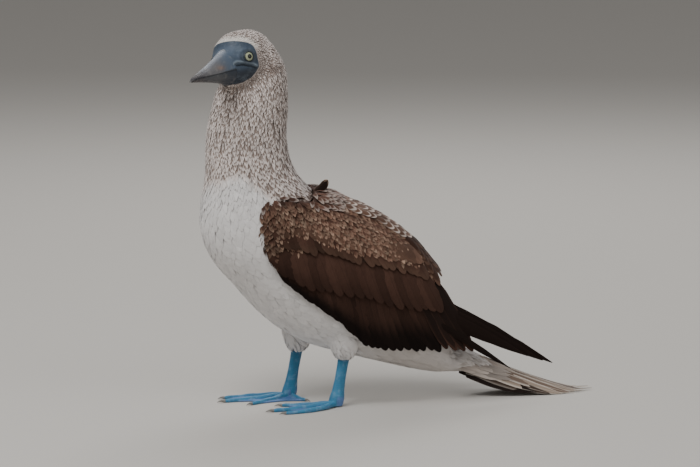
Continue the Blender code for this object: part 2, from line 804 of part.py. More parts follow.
def toe_direction(side, degrees):
    """The way a toe points on the floor: towards -X, turned by the foot's aim and the toe's own angle."""
    inner = -SIDES[side]
    turn = math.radians(degrees) * inner
    aim = math.radians(FEET[side]["toes"])
    facing = Vector((-math.cos(aim), -math.sin(aim), 0))
    return Matrix.Rotation(-turn, 3, "Z") @ facing


def toe_path(side, index, t):
    """Middle of a toe at share t of its length, sinking from the heel to the floor."""
    degrees, length, _, bow = TOES[index]
    heel = Vector(FEET[side]["heel"]) * MM
    start = Vector((heel.x, heel.y, 0))
    spot = start + toe_direction(side, degrees) * (length * MM * t)
    spot += toe_direction(side, degrees - 90) * (bow * MM * math.sin(math.pi * min(t, 1)))
    spot.z = (3.2 * (1 - t) ** 2 + 2.0) * MM
    return spot


def toe_heading(side, index, t):
    """The way a bowed toe runs at share t of its length."""
    degrees, length, _, bow = TOES[index]
    outward_slope = bow * math.pi / length * math.cos(math.pi * t)
    return toe_direction(side, degrees - math.degrees(math.atan(outward_slope)))


def toe(side, index):
    """One toe, tapering, its underside flattened on the floor."""
    _, length, radius, _ = TOES[index]
    rings = []
    for t in (-0.04, 0.2, 0.45, 0.7, 1.0):
        along = toe_heading(side, index, max(t, 0))
        across = along.cross(Vector((0, 0, 1))).normalized()
        size = radius * (1 - 0.42 * max(t, 0)) * MM
        centre = toe_path(side, index, max(t, 0)) + along * (min(t, 0) * length * MM)
        ring = disc(centre, along, across, size, size, 6)
        rings.append([Vector((p.x, p.y, max(p.z, 0))) for p in ring])
    return loft("toe", rings)


def web(side):
    """The web that joins all four toes, its free edges drawn in between the tips."""
    rim = []
    for index in range(len(TOES) - 1):
        for t in np.linspace(0, 1, 5)[: None if index == len(TOES) - 2 else -1]:
            reach = 1 - 0.30 * math.sin(math.pi * t) if index else 1 - 0.26 * math.sin(math.pi * t)
            first, second = (toe_path(side, index + k, 0.93) for k in (0, 1))
            heel = toe_path(side, index, 0)
            spot = first.lerp(second, t)
            spot = heel.lerp(spot, reach)
            spot.z = 0
            rim.append(spot)
    for t in (0.72, 0.5, 0.28):
        spot = toe_path(side, len(TOES) - 1, t)
        spot.z = 0
        rim.append(spot)
    middle = toe_path(side, 2, 0.02)
    middle.z = 0
    levels = []
    for height in (0.25, WEB_THICKNESS):
        levels.append([Vector((p.x, p.y, height * MM)) for p in rim])
    count = len(rim)
    points = [tuple(p) for level in levels for p in level]
    low, high = len(points), len(points) + 1
    points += [(middle.x, middle.y, 0.25 * MM), (middle.x, middle.y, 5.5 * MM)]
    faces = []
    for k in range(count - 1):
        faces += [(k + 1, k, low), (count + k, count + k + 1, high)]
        faces += [(k, k + 1, count + k + 1), (k, count + k + 1, count + k)]
    faces += [(low, 0, count), (low, count, high), (count - 1, low, high), (count - 1, high, 2 * count - 1)]
    mesh = bpy.data.meshes.new("web")
    mesh.from_pydata(points, [], faces)
    return link("web", outward(mesh))


def heel_pad(side):
    """The ball of the foot, under the shank."""
    heel = Vector(FEET[side]["heel"]) * MM
    ankle = Vector(FEET[side]["ankle"]) * MM
    axis = (heel - ankle).normalized()
    forward, down = Vector((1, 0, 0)), Vector((0, 0, -1))
    rings = [disc(heel + axis * GAP, axis, forward, 10.2 * MM, 7.8 * MM, 14)]
    for height, deep, wide in ((4, 10.6, 8.8), (0, 8.5, 7.6)):
        centre = Vector((heel.x - 1.5 * MM, heel.y, height * MM))
        rings.append(disc(centre, down, forward, deep * MM, wide * MM, 14))
    return loft(f"foot_{side}", rings)


def make_foot(side):
    pad = heel_pad(side)
    fuse(pad, [web(side)] + [toe(side, index) for index in range(len(TOES))], "blue_skin")
    for index, long in enumerate(CLAW_LENGTH):
        along = toe_heading(side, index, 1)
        across = along.cross(Vector((0, 0, 1))).normalized()
        size = TOES[index][2] * 0.52 * MM
        start = toe_path(side, index, 1.0) + along * GAP
        rings = []
        for t in (0, 0.35, 0.7, 1.0):
            centre = start + along * (long * MM * t)
            centre.z += (0.5 * math.sin(math.pi * t) - 0.6 * t) * MM
            share = (1 - t) ** 0.8 * 0.9 + 0.1
            rings.append(disc(centre, along, across, size * share * 0.8, size * share, 6))
        loft(f"claw_{side}_{index + 1}", rings, "claw_horn")


def stand_on_origin():
    """Moves everything so that the bounding box's bottom centre is the origin."""
    corners = np.array([tuple(v.co) for obj in BIRD.objects for v in obj.data.vertices])
    low, high = corners.min(axis=0), corners.max(axis=0)
    offset = Vector((-(low[0] + high[0]) / 2, -(low[1] + high[1]) / 2, -low[2]))
    for obj in BIRD.objects:
        obj.location = offset
    return offset


for old in list(bpy.data.objects):
    bpy.data.objects.remove(old)
BIRD = bpy.data.collections.new("blue_footed_booby")
bpy.context.scene.collection.children.link(BIRD)

make_torso()
make_neck()
make_head()
make_bill()
for name in SIDES:
    make_wing(name)
    make_thigh(name)
    make_shank(name)
    make_foot(name)
make_tail()
stand_on_origin()
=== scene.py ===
import math

import bmesh
import bpy
import numpy as np
from mathutils import Matrix, Vector, kdtree, noise
from mathutils.bvhtree import BVHTree


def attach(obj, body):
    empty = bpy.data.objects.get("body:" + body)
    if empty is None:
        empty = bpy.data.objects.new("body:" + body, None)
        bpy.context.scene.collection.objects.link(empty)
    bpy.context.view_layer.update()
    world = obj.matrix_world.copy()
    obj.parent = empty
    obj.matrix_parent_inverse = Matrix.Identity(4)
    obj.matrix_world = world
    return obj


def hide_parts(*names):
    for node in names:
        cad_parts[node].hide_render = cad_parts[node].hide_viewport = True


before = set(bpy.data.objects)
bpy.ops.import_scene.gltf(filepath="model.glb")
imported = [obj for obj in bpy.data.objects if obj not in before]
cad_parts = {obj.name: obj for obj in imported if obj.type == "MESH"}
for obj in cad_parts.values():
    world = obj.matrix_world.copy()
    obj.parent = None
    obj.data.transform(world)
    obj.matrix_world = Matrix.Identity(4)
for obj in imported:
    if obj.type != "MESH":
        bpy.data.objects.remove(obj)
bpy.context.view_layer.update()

MM = 0.001
RNG = np.random.default_rng(20)

# The model is laid out in the bird's own frame: it faces -X, its left side is to -Y and the floor is z = 0.
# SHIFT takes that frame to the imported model's, whose origin is the bottom centre of the box.
SHIFT = np.array((-59.895, 8.118, 0.0)) * MM
SIDES = {"left": -1, "right": 1}

# Body
HEAD_YAW = math.radians(45)
HEAD_ROLL = math.radians(12)
HEAD_ORIGIN = np.array((-143, -17, 440)) * MM
BODY_SLOPE = math.radians(32)
BODY_MIDDLE = np.array((-38, 173)) * MM
SQUARENESS = 2.15

# (x, z) on the throat, breast and belly, (x, z) on the nape and back, and half the width, in mm
BODY_STATIONS = [
    ((-148, 421), (-88, 458), 25),
    ((-157.5, 399), (-73, 431), 32.5),
    ((-164, 377), (-69.5, 402), 37),
    ((-169.5, 354), (-69.5, 371), 39),
    ((-172, 327), (-71, 339), 40.5),
    ((-172.5, 293), (-63, 304), 44.5),
    ((-178, 257), (-42, 276), 53),
    ((-178, 223), (-11, 255), 60),
    ((-165, 189), (22, 238), 65),
    ((-135, 153), (51, 216), 67),
    ((-99, 114), (76, 190), 66.5),
    ((-56, 84), (96, 160), 63),
    ((-10, 68), (112, 132), 55),
    ((43, 53), (126, 106), 43),
    ((88, 41), (137, 82), 31),
    ((122, 34), (147, 61), 21),
]
SKIN_INSET = 1.3 * MM  # the skin lies this far inside these shapes, and the coat reaches a little outside
COAT_DEPTH = 2.3 * MM
RUMP = [(160, 48, 21.5, 16), (180, 42, 20.5, 12), (196, 37, 17, 8), (210, 33, 12, 4.5)]

HEAD_STATIONS = [
    (-66, -12, 6, 9),
    (-62, -22, 19, 20),
    (-53, -31, 30, 29.5),
    (-38, -37, 35.5, 35),
    (-20, -39, 35.5, 36),
    (-6, -38, 32.5, 32),
    (5, -36, 28, 25.5),
    (13, -33.5, 19.5, 19.5),
    (19, -31, 14.5, 15.5),
]
CROWN_POWER, JAW_POWER = 0.86, 0.95
BILL_STATIONS = [
    (19, 14.5, -13.6, -31, 15.5),
    (30, 10.3, -14, -28, 12.8),
    (45, 4.2, -14.8, -25.4, 10.2),
    (62, -2.2, -15.5, -23.4, 8),
    (78, -7.4, -15.9, -21.8, 6.2),
    (90, -11.2, -16.3, -20.7, 4.6),
    (98, -14.2, -17.4, -20, 3),
]
BILL_TIP = (104, -19.6)
EYE_PLACE = (0, 21.5, 0)
EYE_AIM = math.radians(62)
EYE_RADIUS = 8.6 * MM

FEET = {
    "left": {"ankle": (-4.5, -36, 62), "heel": (-14, -37, 11), "toes": 8},
    "right": {"ankle": (-47, 36, 63), "heel": (-56.5, 37, 11), "toes": 10},
}
THIGH = [(0, 52, 17, 13), (0.45, 27, 21, 17), (0.8, 10, 16, 14.5), (0.93, 3, 11.8, 11), (1.0, 0, 9.4, 8.6)]
SHANK = [(0, 8.0, 6.0), (0.2, 7.6, 5.4), (0.5, 7.4, 5.2), (0.78, 8.3, 5.8), (1.0, 10.2, 7.8)]
TOES = [  # (degrees towards the inner side, length in mm, radius at the root, outward bow in mm)
    (105, 33, 3.4, 0),
    (22, 70, 3.8, 0),
    (-3, 89, 4.2, 1),
    (-18, 85, 3.8, 9),
]
CLAW_LENGTH = [8, 9, 10, 8]

BED_STATIONS = [
    (-115, 52, 92),
    (-70, 63, 98),
    (-20, 69, 102),
    (30, 70, 104),
    (80, 65, 103),
    (130, 54, 98),
    (180, 43, 88),
    (230, 34, 74),
    (335, 24, 70),
]
WING_TOP = [(-104, 13), (-110, 42), (-84, 60), (-28, 78), (35, 90), (85, 87), (122, 68)]
WING_LOW = [(-104, 13), (-86, -6), (-45, -27), (5, -30), (55, -24), (95, -4), (126, 30)]

# The two wings meet over the back in a roof. Its ridge, and the wing's top edge, as (a, d) in mm
RIDGE = [(-70, 86), (-26, 95), (15, 102), (41, 103.5), (68, 102.5), (96, 98), (138, 84), (160, 72)]
ROOF_EDGE = [(-112, 46), (-84, 60), (-28, 78), (35, 90), (85, 87), (122, 68), (150, 50)]
ROOF_SPAN = (-56, 138)
ROOF_DEPTH = ((95, 46), (138, 9))
MIDLINE = 0.6 * MM


def at_station(rows, place):
    """One row of a table at a fractional place, by Catmull-Rom."""
    rows = np.asarray(rows, float)
    last = len(rows) - 1
    low = int(min(max(math.floor(place), 0), last - 1))
    t = place - low
    before, start, end, after = (rows[min(max(low + k, 0), last)] for k in (-1, 0, 1, 2))
    if low == 0:
        before = 2 * start - end
    if low == last - 1:
        after = 2 * end - start
    return 0.5 * (
        2 * start
        + (end - before) * t
        + (2 * before - 5 * start + 4 * end - after) * t**2
        + (3 * (start - end) + after - before) * t**3
    )


def signed_power(value, power):
    return np.sign(value) * np.abs(value) ** power


BODY_TABLE = np.array([(*front, *back, width) for front, back, width in BODY_STATIONS])


def body_section(place):
    """Centre, half-depth direction, half depth and half width of the body at a place."""
    row = at_station(BODY_TABLE, place) * MM
    front, back = row[:2], row[2:4]
    centre, half = (front + back) / 2, (back - front) / 2
    depth = np.hypot(*half)
    return centre, half / depth, depth, row[4]


def body_point(place, angle, lift=0.0):
    """A point over the body, the angle running from 0 on the back to pi on the belly, signed by side."""
    centre, up, depth, width = body_section(place)
    out = signed_power(math.sin(angle), 2 / SQUARENESS) * (width + lift)
    x, z = centre + up * signed_power(math.cos(angle), 2 / SQUARENESS) * (depth + lift)
    return np.array((x, out, z))


HEAD_TURN = np.array(Matrix.Rotation(math.pi + HEAD_YAW, 3, "Z") @ Matrix.Rotation(HEAD_ROLL, 3, "X"))


def from_head(points):
    """Points of the head's frame (forward, left, up), in metres, in the bird's frame."""
    return np.asarray(points, float) @ HEAD_TURN.T + HEAD_ORIGIN


def to_head(points):
    return (np.asarray(points, float) - HEAD_ORIGIN) @ HEAD_TURN


# Colours
def srgb(*values):
    """A colour given as screen values of 0 to 255, in linear light."""
    shares = np.array(values) / 255
    return np.where(shares > 0.04, ((shares + 0.055) / 1.055) ** 2.4, shares / 12.92)


WHITE = srgb(218, 215, 213)
WHITE_SHADE = srgb(198, 195, 194)
STREAK_PALE = srgb(220, 209, 203)
STREAK_DARK = srgb(122, 108, 100)
NAPE_DARK = srgb(108, 91, 83)
BROW = srgb(222, 216, 208)
# Grey-brown of the vent: partly the feathers' own brownish tone, partly painted shade of the underside.
VENT_TONE_AND_SHADE = srgb(158, 148, 140)
BROWN = srgb(96, 72, 60)
BROWN_TAN = srgb(150, 126, 108)
BROWN_DEEP = srgb(66, 46, 38)
BROWN_BLACK = srgb(36, 25, 21)
CRESCENT = srgb(196, 182, 172)
FACE = srgb(52, 65, 80)
LORE = srgb(84, 99, 117)
FACE_DARK = srgb(40, 47, 57)
FACE_PALE = srgb(118, 130, 140)
LEG_BLUE = srgb(60, 130, 168)
WEB_BLUE = srgb(92, 130, 184)


def smoothstep(low, high, value):
    share = np.clip((np.asarray(value, float) - low) / (high - low), 0, 1)
    return share * share * (3 - 2 * share)


def blend(first, second, share):
    share = np.asarray(share, float)[..., None]
    return np.asarray(first) * (1 - share) + np.asarray(second) * share


def mottle(points, size, seed=0.0):
    """Smooth noise of about -1 to 1 at each point, with features of about that size."""
    scaled = np.asarray(points) / size + seed
    return np.array([noise.noise(Vector(point)) for point in scaled])


# Meshes
def piece(name, points, faces, look, replaced=(), smooth=True):
    """A mesh of the object from points in the bird's frame."""
    mesh = bpy.data.meshes.new(name)
    mesh.from_pydata((np.asarray(points) + SHIFT).tolist(), [], [tuple(face) for face in faces])
    mesh.materials.append(look)
    made = bpy.data.objects.new(name, mesh)
    bpy.context.scene.collection.objects.link(made)
    if smooth:
        mesh.shade_smooth()
    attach(made, "root")
    if replaced:
        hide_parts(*replaced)
    return made


def paint(made, name, values, kind="FLOAT_COLOR"):
    """Stores one value per vertex under a name that the materials read."""
    values = np.asarray(values, float)
    layer = made.data.attributes.new(name, kind, "POINT")
    if kind == "FLOAT_COLOR":
        values = np.concatenate([values, np.ones((len(values), 1))], axis=1)
        layer.data.foreach_set("color", values.ravel())
    elif kind == "FLOAT_VECTOR":
        layer.data.foreach_set("vector", values.ravel())
    else:
        layer.data.foreach_set("value", values.ravel())


def map_corners(made, name, places):
    """A UV map from one place per vertex."""
    layer = made.data.uv_layers.new(name=name)
    corners = np.empty(len(made.data.loops), dtype=np.int32)
    made.data.loops.foreach_get("vertex_index", corners)
    layer.data.foreach_set("uv", np.asarray(places, float)[corners].ravel())


def loft(rings, closed=True):
    """Points and faces of a surface over rings of as many points each, with a fan on each end."""
    rings = [np.asarray(ring, float) for ring in rings]
    count = len(rings[0])
    points = [point for ring in rings for point in ring]
    faces = []
    for level in range(len(rings) - 1):
        low, high = level * count, (level + 1) * count
        for k in range(count):
            n = (k + 1) % count
            faces.append((low + k, low + n, high + n, high + k))
    if closed:
        for start, ring, turned in ((0, rings[0], True), ((len(rings) - 1) * count, rings[-1], False)):
            middle = len(points)
            points.append(ring.mean(axis=0))
            for k in range(count):
                fan = (start + k, start + (k + 1) % count, middle)
                faces.append(fan[::-1] if turned else fan)
    return points, faces


def scratch_mesh(shapes):
    """One mesh of several shapes, each (points, faces), with every shape's faces turned out."""
    shape = bmesh.new()
    for points, faces in shapes:
        corners = [shape.verts.new(Vector(point)) for point in points]
        made = [shape.faces.new([corners[k] for k in face]) for face in faces]
        bmesh.ops.recalc_face_normals(shape, faces=made)
    mesh = bpy.data.meshes.new("scratch")
    shape.to_mesh(mesh)
    shape.free()
    return mesh


def fused(shapes, voxel, rounds, factor=0.5):
    """One smooth closed surface over overlapping closed shapes, as (points, faces)."""
    made = bpy.data.objects.new("scratch", scratch_mesh(shapes))
    bpy.context.scene.collection.objects.link(made)
    remesh = made.modifiers.new("remesh", "REMESH")
    remesh.mode = "VOXEL"
    remesh.voxel_size = voxel
    if rounds:
        soften = made.modifiers.new("soften", "SMOOTH")
        soften.factor = factor
        soften.iterations = rounds
    graph = bpy.context.evaluated_depsgraph_get()
    mesh = bpy.data.meshes.new_from_object(made.evaluated_get(graph))
    bpy.data.objects.remove(made)
    points = np.array([tuple(v.co) for v in mesh.vertices])
    faces = [tuple(p.vertices) for p in mesh.polygons]
    bpy.data.meshes.remove(mesh)
    return points, faces


def normals_of(points, faces):
    """A unit normal at each point of a mesh."""
    total = np.zeros_like(points)
    faces = np.array([face if len(face) == 4 else (*face, face[-1]) for face in faces])
    a, b, c, d = (points[faces[:, k]] for k in range(4))
    across = np.cross(c - a, d - b)
    for k in range(4):
        np.add.at(total, faces[:, k], across)
    return total / np.maximum(np.linalg.norm(total, axis=1, keepdims=True), 1e-12)


# Materials
class Graph:
    """A procedural material, written as a few short calls."""

    def __init__(self, name, **constants):
        self.material = bpy.data.materials.new(name)
        self.material.use_nodes = True
        self.tree = self.material.node_tree
        self.shader = self.tree.nodes["Principled BSDF"]
        for socket, value in constants.items():
            self.shader.inputs[socket.replace("_", " ")].default_value = value

    def put(self, target, value):
        if isinstance(value, bpy.types.NodeSocket):
            self.tree.links.new(value, target)
        elif hasattr(target.default_value, "__len__") and len(target.default_value) == 4 and len(value) == 3:
            target.default_value = (*value, 1)
        else:
            target.default_value = value

    def node(self, kind, output=0, settings=(), **values):
        made = self.tree.nodes.new("ShaderNode" + kind)
        for key, value in dict(settings).items():
            setattr(made, key, value)
        for key, value in values.items():
            self.put(made.inputs[key.replace("_", " ")], value)
        return made.outputs[output]

    def math(self, operation, a, b=0.0, clamp=False):
        made = self.tree.nodes.new("ShaderNodeMath")
        made.operation, made.use_clamp = operation, clamp
        self.put(made.inputs[0], a)
        self.put(made.inputs[1], b)
        return made.outputs[0]

    def mix(self, share, a, b):
        made = self.tree.nodes.new("ShaderNodeMix")
        made.data_type = "RGBA"
        self.put(made.inputs[0], share)
        self.put(made.inputs[6], a)
        self.put(made.inputs[7], b)
        return made.outputs[2]

    def multiply(self, a, b):
        made = self.tree.nodes.new("ShaderNodeMix")
        made.data_type, made.blend_type = "RGBA", "MULTIPLY"
        made.inputs[0].default_value = 1.0
        self.put(made.inputs[6], a)
        self.put(made.inputs[7], b)
        return made.outputs[2]

    def ramp(self, value, low, high):
        """0 to 1 as the value goes smoothly from low to high; either may be a socket."""
        made = self.tree.nodes.new("ShaderNodeMapRange")
        made.interpolation_type = "SMOOTHSTEP"
        self.put(made.inputs[0], value)
        self.put(made.inputs[1], low)
        self.put(made.inputs[2], high)
        return made.outputs[0]

    def attribute(self, name, output=0):
        return self.node("Attribute", output, {"attribute_name": name})

    def split(self, vector):
        made = self.tree.nodes.new("ShaderNodeSeparateXYZ")
        self.put(made.inputs[0], vector)
        return made.outputs

    def noise(self, scale, detail=2.0, vector=None, roughness=0.5):
        where = vector or self.node("TexCoord", 3)
        return self.node("TexNoise", 0, Vector=where, Scale=scale, Detail=detail, Roughness=roughness)

    def bump(self, height, strength, distance):
        self.put(
            self.shader.inputs["Normal"],
            self.node("Bump", 0, Height=height, Strength=strength, Distance=distance),
        )

    def finish(self, colour, roughness=None):
        self.put(self.shader.inputs["Base Color"], colour)
        if roughness is not None:
            self.put(self.shader.inputs["Roughness"], roughness)
        return self.material


def plumage_look(name, barbs, depth, shaft, shine, roughness, relief):
    """Feathers: root colour to tip colour along the vane, a pale fringe, barbs and a shaft of (strength, colour)."""
    g = Graph(name, Sheen_Weight=shine, Sheen_Roughness=0.5, Specular_IOR_Level=shine)
    across, along, _ = g.split(g.node("UVMap", 0, {"uv_map": "vane"}))
    start, width, fringe = g.split(g.attribute("mark", 1))
    off = g.math("ABSOLUTE", g.math("SUBTRACT", across, 0.5))
    off = g.math("MULTIPLY", off, 2.0)
    curved = g.math("ADD", along, g.math("MULTIPLY", g.math("MULTIPLY", off, off), 0.2))
    tipped = g.ramp(curved, start, g.math("ADD", start, width))
    edged = g.math("MULTIPLY", g.ramp(off, 0.62, 0.98), fringe)
    share = g.math("MAXIMUM", tipped, edged)
    slant = g.math("SUBTRACT", along, g.math("MULTIPLY", off, 0.22))
    place = g.node("CombineXYZ", 0, X=g.math("MULTIPLY", slant, barbs), Y=g.math("MULTIPLY", off, 2.0), Z=start)
    fine = g.node("TexNoise", 0, Vector=place, Scale=1.0, Detail=3.0, Roughness=0.65)
    colour = g.mix(share, g.attribute("tint"), g.attribute("edge"))
    shade = g.math("ADD", g.math("MULTIPLY", fine, 2 * depth), 1 - depth)
    dark = g.node("CombineColor", 0, Red=shade, Green=shade, Blue=shade)
    barred = g.multiply(colour, dark)
    strength, line = shaft
    on_shaft = g.math("MULTIPLY", g.math("SUBTRACT", 1.0, g.ramp(off, 0.03, 0.10)), strength)
    g.bump(fine, relief, 0.0004)
    return g.finish(g.mix(on_shaft, barred, tuple(line)), roughness)


def skin_look():
    """Skin: under the coat the coat's own colour, and on the face bare slate skin with fine wrinkles."""
    g = Graph("skin_surface", Specular_IOR_Level=0.35)
    bare = g.ramp(g.attribute("bare", 2), -0.3, 0.5)
    grain = g.noise(900, 4.0, roughness=0.7)
    broad = g.noise(120, 3.0)
    base = g.attribute("tint")
    worn = g.mix(g.math("MULTIPLY", g.ramp(broad, 0.45, 0.7), 0.35), base, tuple(FACE_PALE))
    colour = g.mix(bare, base, g.mix(0.6, base, worn))
    wrinkles = g.node("TexVoronoi", 0, {"feature": "DISTANCE_TO_EDGE"}, Vector=g.node("TexCoord", 3), Scale=420.0)
    height = g.math("ADD", g.math("MULTIPLY", wrinkles, 0.6), g.math("MULTIPLY", grain, 0.5))
    g.bump(height, 0.5, 0.0005)
    return g.finish(colour, g.math("SUBTRACT", 0.85, g.math("MULTIPLY", bare, 0.36)))


def horn_look():
    """The bill's sheath: long faint striations, scuffs and a satin polish."""
    g = Graph("bill_horn", Specular_IOR_Level=0.45, Coat_Weight=0.12, Coat_Roughness=0.3)
    along, around, _ = g.split(g.attribute("horn", 1))
    place = g.node("CombineXYZ", 0, X=g.math("MULTIPLY", along, 60.0), Y=g.math("MULTIPLY", around, 1400.0), Z=0.0)
    lines = g.node("TexNoise", 0, Vector=place, Scale=1.0, Detail=4.0, Roughness=0.6)
    blotch = g.noise(110, 4.0, roughness=0.6)
    scuff = g.math("MULTIPLY", g.ramp(blotch, 0.5, 0.72), 0.25)
    colour = g.mix(scuff, g.attribute("tint"), tuple(srgb(156, 152, 146)))
    colour = g.mix(g.math("MULTIPLY", g.ramp(lines, 0.45, 0.75), 0.3), colour, tuple(srgb(40, 44, 50)))
    g.bump(g.math("ADD", lines, g.math("MULTIPLY", blotch, 0.8)), 0.25, 0.0005)
    return g.finish(colour, g.math("ADD", 0.34, g.math("MULTIPLY", blotch, 0.25)))


def leg_look():
    """Leg and web: small scales, broader scutes along the toes and front of the shank."""
    g = Graph("leg_skin", Specular_IOR_Level=0.4, Subsurface_Weight=0.06, Subsurface_Scale=0.002)
    scute, mask, web = g.split(g.attribute("scale", 1))
    rows = g.math("ABSOLUTE", g.math("SINE", g.math("MULTIPLY", scute, math.pi)))
    rows = g.math("POWER", rows, 0.35)
    where = g.node("TexCoord", 3)
    cells = g.node("TexVoronoi", 0, {"feature": "DISTANCE_TO_EDGE"}, Vector=where, Scale=620.0)
    cells = g.ramp(cells, 0.0, 0.22)
    broad = g.noise(140, 3.0)
    folds = g.noise(330, 3.0)
    groove = g.mix(mask, g.node("CombineColor", 0, Red=cells, Green=cells, Blue=cells),
                   g.node("CombineColor", 0, Red=rows, Green=rows, Blue=rows))
    shade = g.split(groove)[0]
    tint = g.attribute("tint")
    dark = g.mix(0.55, tint, tuple(srgb(30, 66, 104)))
    colour = g.mix(g.math("MULTIPLY", g.math("SUBTRACT", 1.0, shade), 0.5), tint, dark)
    colour = g.mix(g.math("MULTIPLY", g.ramp(broad, 0.5, 0.75), 0.4), colour, tuple(srgb(140, 176, 204)))
    height = g.math("ADD", shade, g.math("MULTIPLY", folds, g.math("ADD", 0.4, web)))
    g.bump(height, 0.55, 0.0006)
    return g.finish(colour, g.math("ADD", 0.38, g.math("MULTIPLY", broad, 0.2)))


def eye_look():
    """A wet eyeball: black pupil, pale yellow iris with fine spokes and a dark rim."""
    g = Graph("eye_wet", Roughness=0.2, Coat_Weight=0.35, Coat_Roughness=0.02, Specular_IOR_Level=0.3)
    radius, spoke, _ = g.split(g.attribute("iris", 1))
    threads = g.node("TexNoise", 0, Vector=g.node("CombineXYZ", 0, X=g.math("MULTIPLY", spoke, 9.0), Y=radius, Z=0.0),
                     Scale=3.0, Detail=3.0)
    iris = g.mix(threads, tuple(srgb(138, 144, 116)), tuple(srgb(186, 190, 158)))
    iris = g.mix(g.ramp(radius, 4.2, 5.3), iris, tuple(srgb(134, 138, 112)))
    rim = g.mix(g.ramp(radius, 5.1, 5.5), iris, tuple(srgb(16, 19, 24)))
    pupil = g.mix(g.ramp(radius, 2.7, 3.0), tuple(srgb(6, 7, 10)), rim)
    return g.finish(pupil)


def plain_look(name, colour, roughness, speck):
    """A simple horny or fleshy surface with fine mottling."""
    g = Graph(name, Specular_IOR_Level=0.4)
    fine = g.noise(700, 4.0)
    g.bump(fine, 0.3, 0.0003)
    return g.finish(g.mix(fine, tuple(colour), tuple(speck)), roughness)


# Shape of the skin
FACE_EDGE = [  # the edge of the bare face, as (forward, up) in the head's frame in mm
    (30, 31), (9, 23), (2, 19.6), (-4, 16.5), (-7, 12), (-7.8, 6), (-7.4, -3), (-8.4, -9),
    (-8.8, -14.5), (-5.5, -20), (-1, -26), (6, -30), (14, -31), (24, -28.5), (30, -27.5),
]
MOUTH = [(30, -14), (23, -12), (18, -8.6), (11, -9), (2, -12.4), (-5, -15.5)]
RICTUS = [(23, -8.4), (20, -4.8), (16, -3.4), (11, -5), (0, -9.2), (-5.5, -12.8)]


def line_distance(places, line):
    """Distance of each place to a line of (forward, up) corners."""
    line = np.asarray(line, float)
    best = np.full(len(places), 1e9)
    for start, end in zip(line[:-1], line[1:]):
        run = end - start
        share = np.clip((places - start) @ run / (run @ run), 0, 1)
        best = np.minimum(best, np.linalg.norm(places - start - share[:, None] * run, axis=1))
    return best


def inside(places, corners):
    """Whether each place lies inside a polygon."""
    corners = np.asarray(corners, float)
    found = np.zeros(len(places), dtype=bool)
    for (x1, y1), (x2, y2) in zip(corners, np.roll(corners, -1, axis=0)):
        crosses = (y1 > places[:, 1]) != (y2 > places[:, 1])
        at = x1 + (places[:, 1] - y1) * (x2 - x1) / ((y2 - y1) or 1e-9)
        found ^= crosses & (places[:, 0] < at)
    return found


def face_distance(points):
    """How far inside the bare face each point of the head's frame lies, in mm, or minus how far outside."""
    places = np.asarray(points)[:, [0, 2]] / MM
    away = line_distance(places, FACE_EDGE + FACE_EDGE[:1])
    return np.where(inside(places, FACE_EDGE), away, -away)


def head_ring(row, sides=64):
    """A section of the head's skin, which lies under the coat except on the bare face."""
    forward, low, high, width = row
    middle = low * 0.52 + high * 0.48
    angles = np.arange(sides) * 2 * math.pi / sides
    power = np.where(np.cos(angles) > 0, CROWN_POWER, JAW_POWER)
    across = signed_power(np.sin(angles), power)
    rise = signed_power(np.cos(angles), power)
    reach = np.where(rise > 0, high - middle, middle - low)
    outer = np.stack([np.full(sides, forward), across * width, middle + rise * reach], axis=1)
    depth = 0.35 + 2.1 * smoothstep(0, 9, -face_distance(outer * MM))
    across, rise = across * np.maximum(width - depth, 1), rise * np.maximum(reach - depth, 1)
    return from_head(np.stack([np.full(sides, forward), across, middle + rise], axis=1) * MM)


def limb_ring(centre, deep, wide, sides=32, axis=(0, 0, 1), out=(1, 0, 0)):
    axis, out = np.asarray(axis, float), np.asarray(out, float)
    third = np.cross(axis, out)
    third /= np.linalg.norm(third)
    turns = np.arange(sides) * 2 * math.pi / sides
    return np.asarray(centre) + np.outer(np.cos(turns) * deep, out) + np.outer(np.sin(turns) * wide, third)


def body_shape():
    rings = []
    for place in np.linspace(0, len(BODY_STATIONS) - 1, 76):
        rings.append([body_point(place, 2 * math.pi * k / 56, -SKIN_INSET) for k in range(56)])
    for x, z, wide, high in RUMP:
        turns = np.arange(56) * 2 * math.pi / 56
        across, rise = np.sin(turns) * (wide - 2) * MM, np.cos(turns) * (high - 2) * MM
        rings.append(np.stack([np.full(56, x * MM), across, z * MM + rise], axis=1))
    return loft(rings)


def head_shape():
    rows = [at_station(HEAD_STATIONS, place) for place in np.linspace(0, len(HEAD_STATIONS) - 1, 46)]
    rows.append((24, -28.5, 10.5, 12.5))
    return loft([head_ring(row) for row in rows])


def thigh_shape(side):
    ankle = np.array(FEET[side]["ankle"]) * MM
    rings = []
    for place in np.linspace(0, len(THIGH) - 1, 24):
        share, up, deep, wide = at_station(THIGH, place)
        centre = ankle + np.array((3 * (1 - share), 0, up)) * MM
        rings.append(limb_ring(centre, (deep - 1.5) * MM, (wide - 1.5) * MM))
    return loft(rings)


def refine(points, faces, chosen):
    """Halves the edges of the chosen faces of a mesh."""
    shape = bmesh.new()
    corners = [shape.verts.new(point) for point in points]
    made = [shape.faces.new([corners[k] for k in face]) for face in faces]
    edges = {edge for face, wanted in zip(made, chosen) if wanted for edge in face.edges}
    bmesh.ops.subdivide_edges(shape, edges=list(edges), cuts=1, use_grid_fill=True, smooth=0.0)
    bmesh.ops.triangulate(shape, faces=[face for face in shape.faces if len(face.verts) > 4])
    shape.verts.index_update()
    points = np.array([tuple(v.co) for v in shape.verts])
    faces = [tuple(v.index for v in face.verts) for face in shape.faces]
    shape.free()
    return points, faces


def centres_of(points, faces):
    return np.array([points[list(face)].mean(axis=0) for face in faces])


def on_face(points):
    """How much each point belongs to the bare face and the edge of its coat, 0 or 1."""
    local = to_head(points)
    near = face_distance(local) > -3.5
    return near & (local[:, 0] > -14 * MM) & (local[:, 0] < 30 * MM)


